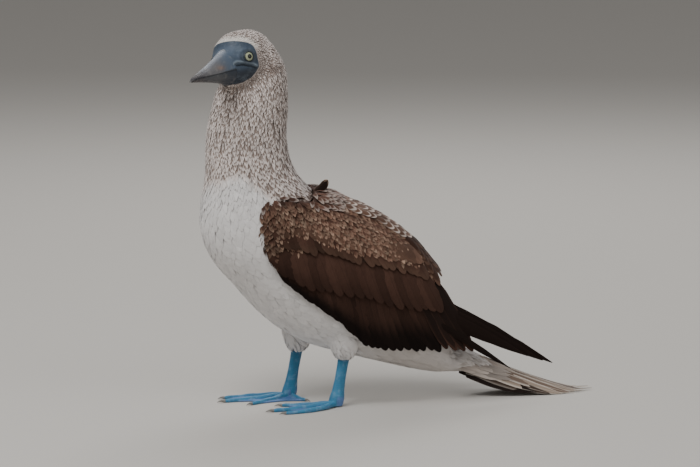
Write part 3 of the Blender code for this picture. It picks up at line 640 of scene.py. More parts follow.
def carve_face(points, faces):
    """Models the bare face: the mouth's line, the pale ridge over it, the lores, the eye and the throat's folds."""
    local = to_head(points)
    places = local[:, [0, 2]] / MM
    normals = normals_of(points, faces)
    weight = on_face(points) * smoothstep(6, 12, np.abs(local[:, 1]) / MM)
    mouth = line_distance(places, MOUTH)
    ridge = line_distance(places, RICTUS)
    eye = np.hypot(places[:, 0] - 3, places[:, 1])
    lore = np.hypot((places[:, 0] - 15) / 1.6, places[:, 1] - 5)
    rise = -1.1 * np.exp(-((mouth / 0.9) ** 2)) + 0.9 * np.exp(-((ridge / 1.7) ** 2))
    rise += -0.8 * np.exp(-((lore / 5) ** 2)) + 0.5 * np.exp(-(((eye - 9.5) / 1.8) ** 2))
    below = smoothstep(-21, -26, places[:, 1])
    folds = np.sin(places[:, 1] * 1.9 + places[:, 0] * 0.5 + 1.5 * mottle(local, 0.012))
    rise += 0.32 * below * folds
    rise += 0.25 * mottle(local, 0.004, 7.0)
    return points + normals * (rise * weight * MM)[:, None]


def make_skin():
    """The skin of head, neck, body and thighs as one surface, with the bare face modelled on it."""
    shapes = [body_shape(), head_shape(), thigh_shape("left"), thigh_shape("right")]
    points, faces = fused(shapes, 1.7 * MM, 5)
    for _ in range(2):
        points, faces = refine(points, faces, on_face(centres_of(points, faces)))
    return carve_face(points, faces), faces


# The lie of the coat
def body_samples():
    """Places over the body with the way its feathers lie there: (point, direction, place)."""
    found = []
    for place in np.linspace(1.0, len(BODY_STATIONS) - 1, 85):
        for k in range(40):
            angle = 2 * math.pi * k / 40
            low, high = max(place - 0.2, 0), min(place + 0.2, len(BODY_STATIONS) - 1)
            run = body_point(high, angle) - body_point(low, angle)
            found.append((body_point(place, angle), run / np.linalg.norm(run), place))
    return found


def head_samples():
    """On the head feathers lie away from the bill and round towards the neck."""
    source, sink = np.array((26, 0, -6)) * MM, np.array((-38, 0, -62)) * MM
    found = []
    for place in np.linspace(0, len(HEAD_STATIONS) - 1, 30):
        ring = to_head(head_ring(at_station(HEAD_STATIONS, place), 24))
        for point in ring:
            run = (point - source) / np.sum((point - source) ** 2) + 1.3 * (sink - point) / np.sum((sink - point) ** 2)
            world = from_head([point])[0]
            way = from_head([point + run / np.linalg.norm(run) * MM])[0] - world
            if world[2] > 0.412 or point[2] > -20 * MM:
                found.append((world, way / MM, -1.0))
    return found


def thigh_samples():
    found = []
    for side in SIDES:
        ankle = np.array(FEET[side]["ankle"]) * MM
        for row in THIGH[1:]:
            for point in limb_ring(ankle + np.array((3 * (1 - row[0]), 0, row[1])) * MM, row[2] * MM, row[3] * MM, 12):
                found.append((point, np.array((0.3, 0.0, -0.95)), 20.0))
    return found


class Lie:
    """Reads the coat's direction and the place along the body at any point."""

    def __init__(self):
        samples = body_samples() + head_samples() + thigh_samples()
        self.ways = np.array([sample[1] for sample in samples])
        self.places = np.array([sample[2] for sample in samples])
        self.tree = kdtree.KDTree(len(samples))
        for index, sample in enumerate(samples):
            self.tree.insert(sample[0], index)
        self.tree.balance()

    def read(self, points):
        ways, places = [], []
        for point in points:
            near = self.tree.find_n(Vector(point), 7)
            weights = np.array([1 / (away + 0.002) ** 2 for _, _, away in near])
            index = [k for _, k, _ in near]
            ways.append((self.ways[index] * weights[:, None]).sum(axis=0))
            places.append(self.places[index[0]])
        ways = np.array(ways)
        return ways / np.linalg.norm(ways, axis=1, keepdims=True), np.array(places)


def body_angle(points, places):
    """The angle round the body, in degrees: 0 on the back and 180 on the throat, breast and belly."""
    found = np.empty(len(points))
    for k, (point, place) in enumerate(zip(points, np.clip(places, 0, 15))):
        centre, up, depth, width = body_section(place)
        rise = (point[[0, 2]] - centre) @ up / depth
        found[k] = math.degrees(math.atan2(abs(point[1]) / width, rise))
    return found


def to_axis(points):
    """(a, d) of each point: along the body's axis towards the tail, and square to it towards the back, in mm."""
    x, z = points[:, 0] - BODY_MIDDLE[0], points[:, 2] - BODY_MIDDLE[1]
    cos, sin = math.cos(BODY_SLOPE), math.sin(BODY_SLOPE)
    return np.stack([x * cos - z * sin, x * sin + z * cos], axis=1) / MM


# Feathers
SMALL_RING = [(-1, 0), (0, 0), (1, 0), (0, 1)]  # (across, underside) of the points round a small feather
SMALL_CAP = [(0, 1, 2, 3)]
# Rows along a small feather, its width at each, its camber, and how soon it rises to its lift: large is soon
BROAD = np.array([0, 0.2, 0.45, 0.7, 0.87, 1.0]), np.array([0.35, 0.75, 1.0, 0.95, 0.66, 0.14]), 0.12, 1.8
DOWNY = np.array([0, 0.15, 0.4, 0.7, 0.9, 1.0]), np.array([0.45, 0.85, 1.0, 0.9, 0.6, 0.12]), 0.03, 3.2
NARROW = np.array([0, 0.3, 0.65, 0.9, 1.0]), np.array([0.5, 0.95, 0.95, 0.5, 0.08]), 0.10, 2.2
BIG_COLUMNS = np.linspace(-1, 1, 9)
BIG_RING = [(s, 0) for s in BIG_COLUMNS] + [(s, 1) for s in BIG_COLUMNS[::-1]]
BIG_CAP = [(k, k + 1, 16 - k, 17 - k) for k in range(8)]


def feather_piece(name, look, rings, rows, ring, cap, roots, tint, edge, mark, patch=0.003, replaced=(), slot=None):
    """One mesh of many closed feathers. rings holds (feather, row, point of the ring, xyz)."""
    count, levels, around = rings.shape[:3]
    faces = []
    for level in range(levels - 1):
        for k in range(around):
            n = (k + 1) % around
            faces.append((level * around + k, level * around + n, (level + 1) * around + n, (level + 1) * around + k))
    last = (levels - 1) * around
    faces += [quad[::-1] for quad in cap] + [tuple(last + k for k in quad) for quad in cap]
    faces = np.array(faces)
    each = levels * around
    quads = (faces[None] + (np.arange(count) * each)[:, None, None]).reshape(-1, 4)
    mesh = bpy.data.meshes.new(name)
    mesh.vertices.add(count * each)
    mesh.vertices.foreach_set("co", (rings.reshape(-1, 3) + SHIFT).ravel())
    mesh.loops.add(quads.size)
    mesh.loops.foreach_set("vertex_index", quads.ravel().astype(np.int32))
    mesh.polygons.add(len(quads))
    mesh.polygons.foreach_set("loop_start", np.arange(0, quads.size, 4, dtype=np.int32))
    mesh.update(calc_edges=True)
    mesh.materials.append(look)
    mesh.shade_smooth()
    mesh.set_sharp_from_angle(angle=math.radians(50))
    made = bpy.data.objects.new(name, mesh)
    bpy.context.scene.collection.objects.link(made)
    across = np.tile([s for s, _ in ring], levels)
    along = np.repeat(rows, around)
    for layer, values in (("tint", tint), ("edge", edge)):
        paint(made, layer, np.repeat(values, each, axis=0))
    paint(made, "mark", np.repeat(mark, each, axis=0), "FLOAT_VECTOR")
    vane = np.stack([0.5 + 0.5 * across, along], axis=1)
    local = np.stack([across / 2, along - 0.5], axis=1) * patch
    map_corners(made, "OFBake", (roots[:, None] + local[None]).reshape(-1, 2))
    map_corners(made, "vane", np.tile(vane, (count, 1)))
    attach(made, "root")
    if replaced:
        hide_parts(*replaced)
    return made


def scatter(points, faces, spacing):
    """Places spread evenly over a surface, at least the spacing of their face apart. Returns the places."""
    triangles = np.array([
        corner for face in faces
        for corner in ((face[0], face[1], face[2]), (face[0], face[2], face[-1]))[: len(face) - 2]
    ])
    owner = np.repeat(np.arange(len(faces)), [len(face) - 2 for face in faces])
    a, b, c = (points[triangles[:, k]] for k in range(3))
    normal = np.cross(b - a, c - a)
    area = np.linalg.norm(normal, axis=1) / 2
    gap = spacing[owner]
    wanted = np.where(gap > 0, area / np.maximum(gap, 1e-6) ** 2, 0) * 5
    total = int(wanted.sum())
    chosen = RNG.choice(len(triangles), total, p=wanted / wanted.sum())
    u, v = RNG.random(total), RNG.random(total)
    u, v = np.where(u + v > 1, 1 - u, u), np.where(u + v > 1, 1 - v, v)
    places = a[chosen] + (b - a)[chosen] * u[:, None] + (c - a)[chosen] * v[:, None]
    gaps = gap[chosen]
    size = gaps.max()
    cells = np.floor(places / size).astype(int)
    grid, kept = {}, []
    for k in range(total):
        x, y, z = cells[k]
        px, py, pz = places[k]
        limit = gaps[k] ** 2
        for near in ((x + i, y + j, z + m) for i in (-1, 0, 1) for j in (-1, 0, 1) for m in (-1, 0, 1)):
            if any((px - q[0]) ** 2 + (py - q[1]) ** 2 + (pz - q[2]) ** 2 < limit for q in grid.get(near, ())):
                break
        else:
            grid.setdefault((x, y, z), []).append((px, py, pz))
            kept.append(k)
    return places[kept]


def walk(tree, roots, ways, lengths, steps):
    """Lays a path over the surface from each root along its way. Returns points, normals and sideways vectors."""
    place, way = roots.copy(), ways.copy()
    track, normals, sides = [], [], []
    for step in range(steps):
        if step:
            place = place + way * (lengths / (steps - 1))[:, None]
        found = [tree.find_nearest(Vector(point)) for point in place]
        place = np.array([tuple(hit[0]) for hit in found])
        normal = np.array([tuple(hit[1]) for hit in found])
        way = way - normal * np.sum(way * normal, axis=1, keepdims=True)
        way /= np.maximum(np.linalg.norm(way, axis=1, keepdims=True), 1e-9)
        track.append(place)
        normals.append(normal)
        sides.append(np.cross(way, normal))
    track, normals, sides = (np.stack(part, axis=1) for part in (track, normals, sides))
    smoothed = normals.copy()
    smoothed[:, 1:-1] = normals[:, :-2] + normals[:, 1:-1] + normals[:, 2:]
    return track, smoothed / np.linalg.norm(smoothed, axis=2, keepdims=True), sides


def small_feathers(tree, roots, ways, lengths, widths, lifts, form):
    """Rings of small feathers that rise from the skin to their lift. Widths are half widths."""
    rows, shape, camber, bend = form
    steps = len(rows)
    track, normals, sides = walk(tree, roots, ways, lengths, steps)
    even = np.linspace(0, 1, steps)
    track = np.stack([np.stack([np.interp(rows, even, line[:, k]) for k in range(3)], axis=1) for line in track])
    rise = -0.4 * MM + (lifts + 0.4 * MM)[:, None] * (1 - (1 - rows) ** bend)
    half = widths[:, None] * shape
    rings = []
    for across, under in SMALL_RING:
        height = rise - camber * half * across**2 - under * np.minimum(0.2 * MM, 0.15 * half)
        rings.append(track + normals * height[..., None] + sides * (half * across)[..., None])
    return np.stack(rings, axis=2)


def turned(ways, degrees, tree, roots):
    """Turns each way about the surface's normal at its root by a random angle."""
    normals = np.array([tuple(tree.find_nearest(Vector(point))[1]) for point in roots])
    angles = np.radians(RNG.normal(0, degrees, len(ways)))[:, None]
    return ways * np.cos(angles) + np.cross(normals, ways) * np.sin(angles)


# Coat
COAT_SIZES = [  # place along the body, length, half width and spacing of the feathers there, in mm
    (0, 11, 1.2, 2.15),
    (3, 14, 1.4, 2.4),
    (5.2, 17, 2.3, 3.1),
    (7, 21, 4.4, 4.4),
    (9, 23, 5.0, 4.8),
    (12, 25, 5.2, 4.9),
    (15, 27, 4.8, 4.7),
]
HEAD_SIZE = (8, 1.15, 1.95)
THIGH_SIZE = (13, 1.9, 2.9)
WING_COVER = [(-100, 5), (-103, 40), (-78, 54), (-26, 70), (35, 80), (85, 78), (130, 62), (170, 22), (190, 2), (150, -16),
              (82, -30), (20, -22), (-40, -12), (-76, -4)]  # what the folded wing hides, as (a, d) in mm
ROOF_COVER = [(-40, 60), (-40, 130), (116, 130), (116, 50)]  # and its roof


def coat_sizes(places):
    """Length, half width and spacing of the coat's feathers at places along the body, in metres."""
    table = np.array(COAT_SIZES)
    found = np.stack([np.interp(places, table[:, 0], table[:, k]) for k in (1, 2, 3)], axis=1)
    found[places < 0] = HEAD_SIZE
    found[places > 15.5] = THIGH_SIZE
    return found * MM


def coat_spacing(points, places):
    spacing = coat_sizes(places)[:, 2]
    local = to_head(points)
    bare = (face_distance(local) > 0.2) & (local[:, 0] > -24 * MM) & (np.linalg.norm(local, axis=1) < 60 * MM)
    axis = to_axis(points)
    inner = np.where(axis[:, 0] < -70, 22, 34) * MM
    covered = (inside(axis, WING_COVER) & (np.abs(points[:, 1]) > inner)) | inside(axis, ROOF_COVER)
    return np.where(bare | (covered & (places < 15.5)), 0, spacing)


def coat_colours(points, places, angles):
    """Root colour, tip colour, where the tip colour starts and how pale the fringe is, for each feather."""
    count = len(points)
    high = points[:, 2] / MM
    blot = mottle(points, 0.018, 3.0)
    front = smoothstep(60, 150, angles)
    root = blend(STREAK_DARK * 1.1, STREAK_DARK * 1.35, front)
    tip = blend(STREAK_PALE * 0.95, STREAK_PALE, front)
    start = 0.66 - 0.045 * front + 0.05 * mottle(points, 0.014, 5.0)
    # The nape and the hind neck are browner towards the mantle.
    nape = (1 - smoothstep(35, 80, angles)) * smoothstep(0, 6, places)
    root = blend(root, NAPE_DARK, nape)
    tip = blend(tip, STREAK_PALE * 0.82, nape)
    # White from the breast down, its edge higher at the side of the neck and lower at the shoulder.
    edge = np.interp(angles, (60, 78, 100, 125, 180), (262, 268, 300, 304, 281)) + 7 * blot
    white = smoothstep(9, -9, high - edge) * smoothstep(58, 74, angles + 5 * blot)
    # A soft random cloud of lighter and darker white, painted shading of the coat's tufts.
    painted_tuft_shade = (1 + 0.12 * mottle(points, 0.009, 9.0))[:, None]
    root = blend(root, WHITE_SHADE * painted_tuft_shade, white)
    tip = blend(tip, WHITE * painted_tuft_shade, white)
    start = start * (1 - white) + 0.25 * white
    # The mantle between the wings, then the paler rump.
    mantle = (1 - smoothstep(62, 80, angles)) * smoothstep(5.4, 6.6, places) * (places < 15.5)
    rump = smoothstep(11.6, 12.6, places) * (places < 15.5)
    root = blend(root, BROWN_DEEP, mantle * (1 - rump))
    tip = blend(tip, BROWN_TAN, mantle * (1 - rump))
    start = np.where(mantle * (1 - rump) > 0.5, 0.84, start)
    # Towards the tail the coat turns grey-brown: partly the vent's own brownish tone, partly painted shade of the
    # underside.
    vent_tone_and_shade = 0.55 * smoothstep(10.8, 13, places) * (places < 15.5)
    root, tip = blend(root, VENT_TONE_AND_SHADE, vent_tone_and_shade), blend(tip, VENT_TONE_AND_SHADE * 1.25, vent_tone_and_shade)
    grey = rump * (1 - smoothstep(80, 110, angles))
    root = blend(root, srgb(174, 166, 160), grey)
    tip = blend(tip, srgb(204, 198, 194), grey)
    # The head: whitish over the brow, streaked crown, a brown patch behind the gape.
    head = places < 0
    local = to_head(points) / MM
    away = -face_distance(local * MM)
    brow = head * smoothstep(9, 2, away) * smoothstep(4, 14, local[:, 2])
    crown = head * smoothstep(14, 26, local[:, 2])
    gape = head * np.exp(-((local[:, 0] + 27) ** 2 + (local[:, 2] + 17) ** 2) / 90)
    root = blend(root, STREAK_DARK * 0.95, head * 1.0)
    tip = blend(tip, STREAK_PALE * 0.9, crown)
    root = blend(root, BROW * 0.8, brow)
    tip = blend(tip, BROW, brow)
    dark = np.clip(0.75 * gape, 0, 1)
    root = blend(root, NAPE_DARK, dark)
    tip = blend(tip, STREAK_DARK, dark)
    start = np.where(head, 0.68 + 0.06 * gape, start)
    thigh = places > 15.5
    root = np.where(thigh[:, None], WHITE_SHADE, root)
    tip = np.where(thigh[:, None], WHITE, tip)
    vary = 1 + 0.10 * RNG.normal(0, 1, (count, 1)) * (1 - 0.7 * white[:, None])
    fringe = 0.75 - 0.55 * white
    mark = np.stack([start + RNG.normal(0, 0.05, count), np.full(count, 0.16), fringe], axis=1)
    return np.clip(root * vary, 0, 0.9), np.clip(tip * vary, 0, 0.9), mark


def bake_places(points, places):
    """A place for each root on an unwrap of the skin's own shape: round and along the body, or over the head."""
    angles = np.arctan2(points[:, 1], points[:, 2] - 0.2)
    body = np.stack([0.5 + angles / (2 * math.pi) * 0.9, 0.02 + np.clip(places, 0, 15) / 15 * 0.6], axis=1)
    local = to_head(points)
    round_head = np.arctan2(local[:, 1], local[:, 2])
    reach = 0.02 + 0.13 * np.clip((30 * MM - local[:, 0]) / (100 * MM), 0, 1)
    head = np.stack([0.2 + reach * np.cos(round_head), 0.82 + reach * np.sin(round_head)], axis=1)
    thigh = np.stack([0.6 + 0.3 * np.clip(points[:, 0] / 0.2 + 0.5, 0, 1), 0.7 + points[:, 2]], axis=1)
    found = np.where((places < 0)[:, None], head, body)
    found = np.where((places > 15.5)[:, None], thigh, found)
    return np.clip(found, 0.004, 0.996)


def coat_region(points, places, angles):
    region = np.full(len(points), "coat_breast", dtype=object)
    region[places < 6] = "coat_neck"
    region[(places >= 6) & (angles < 62)] = "coat_back"
    region[(places >= 9.5) & (angles >= 62)] = "coat_belly"
    region[places < 0] = "coat_head"
    region[places > 15.5] = "coat_thighs"
    return region


def make_coat(points, faces, lie, look):
    """Feathers over the whole skin except the bare face and what the wings cover."""
    tree = BVHTree.FromPolygons([Vector(point) for point in points], faces)
    centres = centres_of(points, faces)
    _, places = lie.read(centres)
    roots = scatter(points, faces, coat_spacing(centres, places))
    ways, places = lie.read(roots)
    ways = turned(ways, 6, tree, roots)
    angles = body_angle(roots, places)
    sizes = coat_sizes(places) * RNG.normal(1, 0.08, (len(roots), 1))
    lifts = np.full(len(roots), COAT_DEPTH)
    local = to_head(roots)
    away = -face_distance(local)
    lifts = np.where(places < 0, (0.5 + 1.2 * smoothstep(0, 9, away)) * MM, lifts)
    near_face = (places < 0) & (away < 8)
    sizes[near_face, 0] *= 0.72
    uneven = np.where(places > 15.5, 0.3, np.where(places < 6, 0.12, 0.04))
    lifts *= RNG.normal(0.95, uneven, len(roots))
    root, tip, mark = coat_colours(roots, places, angles)
    regions = coat_region(roots, places, angles)
    unwrap = bake_places(roots, places)
    slots = {"coat_head": "streaked_plumage", "coat_neck": "streaked_plumage", "coat_back": "brown_plumage"}
    for name in sorted(set(regions)):
        own = regions == name
        form = NARROW if name in ("coat_head", "coat_neck") else DOWNY
        rings = small_feathers(tree, roots[own], ways[own], sizes[own, 0], sizes[own, 1], lifts[own], form)
        feather_piece(
            name, look, rings, form[0], SMALL_RING, SMALL_CAP, unwrap[own], root[own], tip[own], mark[own],
            slot=slots.get(name, "white_plumage"),
        )
    return tree


def paint_skin(made, points, lie):
    """The skin carries the coat's own markings, and slate on the bare face."""
    _, places = lie.read(points)
    angles = body_angle(points, places)
    root, tip, _ = coat_colours(points, places, angles)
    # Under the coat the skin takes the coat's middle colour, a tenth darker as painted shade in the gaps between
    # feathers.
    base = blend(root, tip, 0.5) * 0.9
    local = to_head(points)
    distance = face_distance(local)
    flat = local[:, [0, 2]] / MM
    slate = np.tile(FACE, (len(points), 1))
    below = smoothstep(-11.5, -19, flat[:, 1])
    slate = blend(slate, FACE_DARK, below)
    slate = blend(slate, FACE_PALE, 0.85 * np.exp(-((line_distance(flat, RICTUS) / 1.5) ** 2)))
    slate = blend(slate, FACE_DARK * 0.45, 0.8 * np.exp(-((line_distance(flat, MOUTH) / 0.9) ** 2)))
    eye = np.hypot(flat[:, 0] - 3, flat[:, 1])
    slate = blend(slate, FACE_DARK * 0.7, np.exp(-(((eye - 7.5) / 2.2) ** 2)) * 0.7)
    lore = np.hypot((flat[:, 0] - 16) / 1.8, flat[:, 1] - 9)
    slate = blend(slate, LORE, np.exp(-((lore / 8) ** 2)) * 0.8)
    slate = slate * (1 + 0.16 * mottle(local, 0.006))[:, None]
    front = local[:, 0] > -24 * MM
    near = np.linalg.norm(local, axis=1) < 62 * MM
    bare = np.where(front & near, distance, -9)
    paint(made, "tint", np.clip(blend(base, slate, smoothstep(-0.8, 0.4, bare)), 0, 1))
    paint(made, "bare", bare, "FLOAT")


# Bill
def bill_ring(row, upper, steps=26):
    """A section of one half of the bill, with a ridged culmen and a groove along the side."""
    forward, top, mouth, bottom, width = row
    seam = 0.12
    far = top if upper else bottom
    near = mouth + seam if upper else mouth - seam
    sharp = 2.0 - 0.5 * min(max((forward - 19) / 30, 0), 1) if upper else 1.9
    angles = np.linspace(0, math.pi, steps + 1)
    lean = np.abs(np.cos(angles))
    rise = near + (far - near) * (1 - lean**sharp) ** (1 / sharp)
    across = np.cos(angles) * width
    share = np.sin(angles)
    groove = np.exp(-(((share - 0.80) / 0.05) ** 2)) * 0.035 * width if upper else 0
    across = across - np.sign(across) * groove * 1.6
    tomium = np.exp(-((share / 0.09) ** 2)) * 0.02 * width
    across = across + np.sign(across) * tomium
    rise[0] = rise[-1] = near
    flat = np.array([[-0.5 * width, near], [0, near], [0.5 * width, near]])
    outline = np.concatenate([np.stack([across, rise], axis=1), flat])
    return np.concatenate([np.full((len(outline), 1), forward), outline], axis=1) * MM


def bill_tint(local, upper):
    """Slate grey, with a painted highlight along the culmen and painted shade mixed into the dark slate over the top of
    its base, darker at the tip and along the cutting edge.
    """
    flat = local[:, [0, 2]] / MM
    along = smoothstep(19, 100, flat[:, 0])
    base = LORE * 0.85 if upper else FACE_DARK * 1.2
    tint = blend(base, srgb(100, 99, 101) if upper else srgb(74, 76, 80), smoothstep(24, 52, flat[:, 0]))
    tint = blend(tint, srgb(60, 56, 60), smoothstep(0.6, 1.0, along))
    if upper:
        culmen = np.interp(flat[:, 0], [row[0] for row in BILL_STATIONS], [row[1] for row in BILL_STATIONS])
        # A painted highlight along the culmen, fading towards the tip.
        painted_highlight = 0.6 * smoothstep(7, 0, culmen - flat[:, 1]) * smoothstep(1.0, 0.5, along)
        tint = blend(tint, srgb(150, 157, 168), painted_highlight)
        spot = np.hypot((flat[:, 0] - 43) / 2.2, flat[:, 1] + 8)
        tint = blend(tint, srgb(150, 118, 96), 0.5 * np.exp(-((spot / 2.6) ** 2)))
        # Darker slate over the top of the bill's base: partly the face's own slate, partly painted shade of its far
        # side.
        tint = blend(tint, srgb(36, 40, 48), 0.9 * smoothstep(23, 18, flat[:, 0]) * smoothstep(4, 12, flat[:, 1]))
    seam = np.interp(flat[:, 0], [row[0] for row in BILL_STATIONS], [row[2] for row in BILL_STATIONS])
    edge = np.abs(flat[:, 1] - seam)
    return blend(tint, srgb(28, 32, 38), 0.8 * smoothstep(1.2, 0.1, edge))


def make_bill(look):
    tip_forward, tip_up = BILL_TIP
    for name, upper in (("bill_upper", True), ("bill_lower", False)):
        table = np.array(BILL_STATIONS)
        rows = [at_station(table, place) for place in np.linspace(0, len(table) - 1, 60)]
        rows.insert(0, rows[0] + (rows[0] - rows[3]) * 1.4 - np.array((0, 0.9, 0, -0.9, 1.6)))
        if upper:
            rows += [np.array((102, -16.5, -18.9, 0, 1.9)), np.array((tip_forward, tip_up + 1.6, tip_up + 0.3, 0, 0.7))]
        else:
            rows += [np.array((tip_forward - 4, 0, -18.6, -20.1, 0.8))]
        rings = [bill_ring(row, upper) for row in rows]
        local, faces = loft(rings)
        local = np.array(local)
        points = from_head(local)
        normals = normals_of(points, faces)
        rough = mottle(local * (0.35, 1, 1), 0.0035) * 0.10 + mottle(local, 0.011, 5.0) * 0.16
        made = piece(name, points + normals * (rough * MM)[:, None], faces, look, [name])
        paint(made, "tint", bill_tint(local, upper))
        paint(made, "horn", local[:, [0, 1, 2]], "FLOAT_VECTOR")


# Eyes
def eye_turn(side):
    """The eyeball's centre and a turn whose third column looks out of the eye, in the head's frame."""
    left = -SIDES[side]
    aim = Vector((math.cos(EYE_AIM), math.sin(EYE_AIM) * left, 0))
    turn = np.array(aim.to_track_quat("Z", "Y").to_matrix())
    return np.array(EYE_PLACE) * (1, left, 1) * MM, turn


def make_eye(side, look):
    rings = []
    for lean in np.linspace(0.012, math.pi - 0.012, 46):
        turns = np.arange(64) * 2 * math.pi / 64
        ring = [np.cos(turns) * math.sin(lean), np.sin(turns) * math.sin(lean), np.full(64, math.cos(lean))]
        rings.append(np.stack(ring, axis=1) * (EYE_RADIUS - 0.05 * MM))
    local, faces = loft(rings)
    local = np.array(local)
    centre, turn = eye_turn(side)
    made = piece(f"eye_{side}", from_head(local @ turn.T + centre), faces, look, [f"eye_{side}"])
    radius = np.hypot(local[:, 0], local[:, 1]) / MM
    radius = np.where(local[:, 2] > 0, radius, 9)
    spoke = np.arctan2(local[:, 1], local[:, 0])
    paint(made, "iris", np.stack([radius, spoke, radius * 0], axis=1), "FLOAT_VECTOR")


def make_lids(side, look):
    """The bare orbital ring: a soft roll round the eye, slightly oval, with a fine inner margin."""
    profile = [(5.6, 0.3), (5.9, 0.65), (6.4, 0.85), (7.0, 0.7), (7.7, 0.1), (8.6, -1.1), (8.2, -3.2), (6.2, -2.6)]
    rings = []
    for turn in np.arange(72) * 2 * math.pi / 72:
        ring = []
        for radius, rise in profile:
            wide = radius * (1 + 0.035 * math.cos(2 * turn))
            puff = 0.10 * math.sin(9 * turn + radius) * (radius > 6.0)
            base = math.sqrt(max((EYE_RADIUS / MM) ** 2 - min(wide, 8.4) ** 2, 0.5))
            ring.append((wide * math.cos(turn), wide * math.sin(turn), base + rise + puff))
        rings.append(np.array(ring) * MM)
    rings = np.array(rings)
    count = len(profile)
    local = rings.reshape(-1, 3)
    faces = []
    for i in range(72):
        for j in range(count):
            a, b = i * count + j, i * count + (j + 1) % count
            c, d = ((i + 1) % 72) * count + (j + 1) % count, ((i + 1) % 72) * count + j
            faces.append((a, d, c, b))
    centre, turn = eye_turn(side)
    made = piece(f"lids_{side}", from_head(local @ turn.T + centre), faces, look)
    soften = made.modifiers.new("soften", "SUBSURF")
    soften.levels = soften.render_levels = 2
    radius = np.hypot(local[:, 0], local[:, 1]) / MM
    tint = blend(FACE_DARK * 0.35, FACE * 0.85, smoothstep(6.0, 8.4, radius))
    paint(made, "tint", tint)
    paint(made, "bare", np.full(len(local), 2.0), "FLOAT")


# Wings
BIG_ROWS = np.sin(np.linspace(0, math.pi / 2, 20))
ARM_OUT, ARM_IN = 4.4 * MM, 14 * MM
SECONDARY_TIPS = [(-24, -31), (22, -36), (52, -39), (82, -45), (112, -45), (153, -27), (190, -7)]
SECONDARY_ROOTS = [(-68, -8), (-28, -5), (0, -1), (26, 4), (54, 12), (80, 26), (98, 44)]
TERTIALS = [((98, 52), (198, 0)), ((98, 60), (210, 4)), ((99, 68), (221, 9)), ((100, 76), (231, 14))]
GREATER_TIPS = [(-52, -21), (-9, -24), (34, -8), (82, 7), (130, 21), (164, 36)]
GREATER_ROOTS = [(-86, 4), (-52, 14), (-14, 28), (32, 44), (74, 60), (106, 70)]
MEDIAN_TIPS = [(-62, 3), (-38, 14), (0, 27), (42, 40), (84, 53), (126, 64)]
MEDIAN_ROOTS = [(-92, 24), (-70, 38), (-34, 52), (8, 64), (48, 76), (88, 82)]
PRIMARIES = [  # root and tip as (a, d), distances from the mirror plane, and half the width, in mm
    ((96, 36), (336, 54), (46, 22), 10.5),
    ((96, 31), (322, 50), (48, 25), 10),
    ((96, 26), (300, 45), (50, 29), 9),
    ((160, 22), (288, 20), (47, 31), 4.2),
]
SCAPULAR_ROWS = [  # share from the ridge, first and last a, length, half width, rise of the tip, how many
    (0.10, -44, 62, 28, 6.8, 2.9, 10),
    (0.40, -48, 57, 28, 7.2, 3.2, 10),
    (0.66, -52, 48, 28, 7.4, 3.4, 10),
    (0.16, 68, 100, 46, 7.6, 3.9, 5),
    (0.40, 60, 98, 46, 8.0, 3.8, 5),
    (0.64, 56, 98, 44, 8.4, 3.6, 5),
]


def bed(a, d):
    """How far out the wing's bed lies at a place in the axis frame, in metres."""
    table = np.array(BED_STATIONS) * MM
    width = np.interp(a, table[:, 0], table[:, 1])
    height = np.interp(a, table[:, 0], table[:, 2])
    return width * np.maximum(1 - np.abs(d / height) ** 2.4, 0.03) ** (1 / 2.2)


def from_axis(a, d, out, side):
    """From the axis frame to the bird's frame, out being the distance from the mirror plane."""
    cos, sin = math.cos(BODY_SLOPE), math.sin(BODY_SLOPE)
    x = BODY_MIDDLE[0] + a * cos + d * sin
    z = BODY_MIDDLE[1] - a * sin + d * cos
    return np.stack([x, out * SIDES[side] + 0 * x, z], axis=-1)


def curve_at(points, t):
    return at_station(points, t * (len(points) - 1))


def arm_shape(side):
    """The feathered arm under its coverts, thin along both edges."""
    rings = []
    for t in np.linspace(0.012, 1, 44):
        top, low = curve_at(WING_TOP, t) * MM, curve_at(WING_LOW, t) * MM
        fill = min(1, math.sqrt(t * 4)) * (1 - 0.45 * max(t - 0.6, 0) / 0.4)
        ring = []
        for v, deep in [(j / 16, 1) for j in range(17)] + [(1 - j / 16, 0) for j in range(1, 16)]:
            a, d = top + (low - top) * v
            lens = math.sqrt(max(1 - (2 * v - 1) ** 2, 0))
            outer = ARM_OUT * (1 - 0.9 * smoothstep(0.25, 0.6, v))
            depth = outer if deep else -ARM_IN * (1 - 0.5 * max(t - 0.5, 0) / 0.5)
            ring.append(from_axis(a, d, bed(a, d) + depth * lens * fill, side))
        rings.append(ring)
    return loft(rings)


def roof_point(side, a, share, lift):
    """A point over the roof, share running from 0 at the ridge to 1 at the wing's top edge. a is in mm."""
    ridge, edge = (np.interp(a, *np.array(line, float).T) * MM for line in (RIDGE, ROOF_EDGE))
    wide, high = bed(a * MM, edge), ridge - edge
    turn = share * math.pi / 2
    out, d = wide * np.sin(turn), edge + high * np.cos(turn)
    across, up = np.sin(turn) / wide, np.cos(turn) / high
    size = np.hypot(across, up)
    return from_axis(a * MM, d + up / size * lift, np.maximum(out + across / size * lift, MIDLINE), side)


def roof_shape(side):
    """The pad between the wing's top edge and the back's ridge, under the shoulder's feathers."""
    rings = []
    first, last = ROOF_SPAN
    over, under = np.linspace(0, 1.06, 16), np.linspace(1.06, 0, 8)
    for step in np.linspace(0, 1, 40):
        a = first + (last - first) * step
        lift = 0.4 * MM * math.sin(math.pi / 2 * min(10 * step + 0.2, 1))
        depth = np.interp(a, *np.array(ROOF_DEPTH, float).T) * MM
        low = roof_point(side, a, under, -depth * (1 - 0.35 * under))
        rings.append(np.concatenate([roof_point(side, a, over, lift), low]))
    return loft(rings)


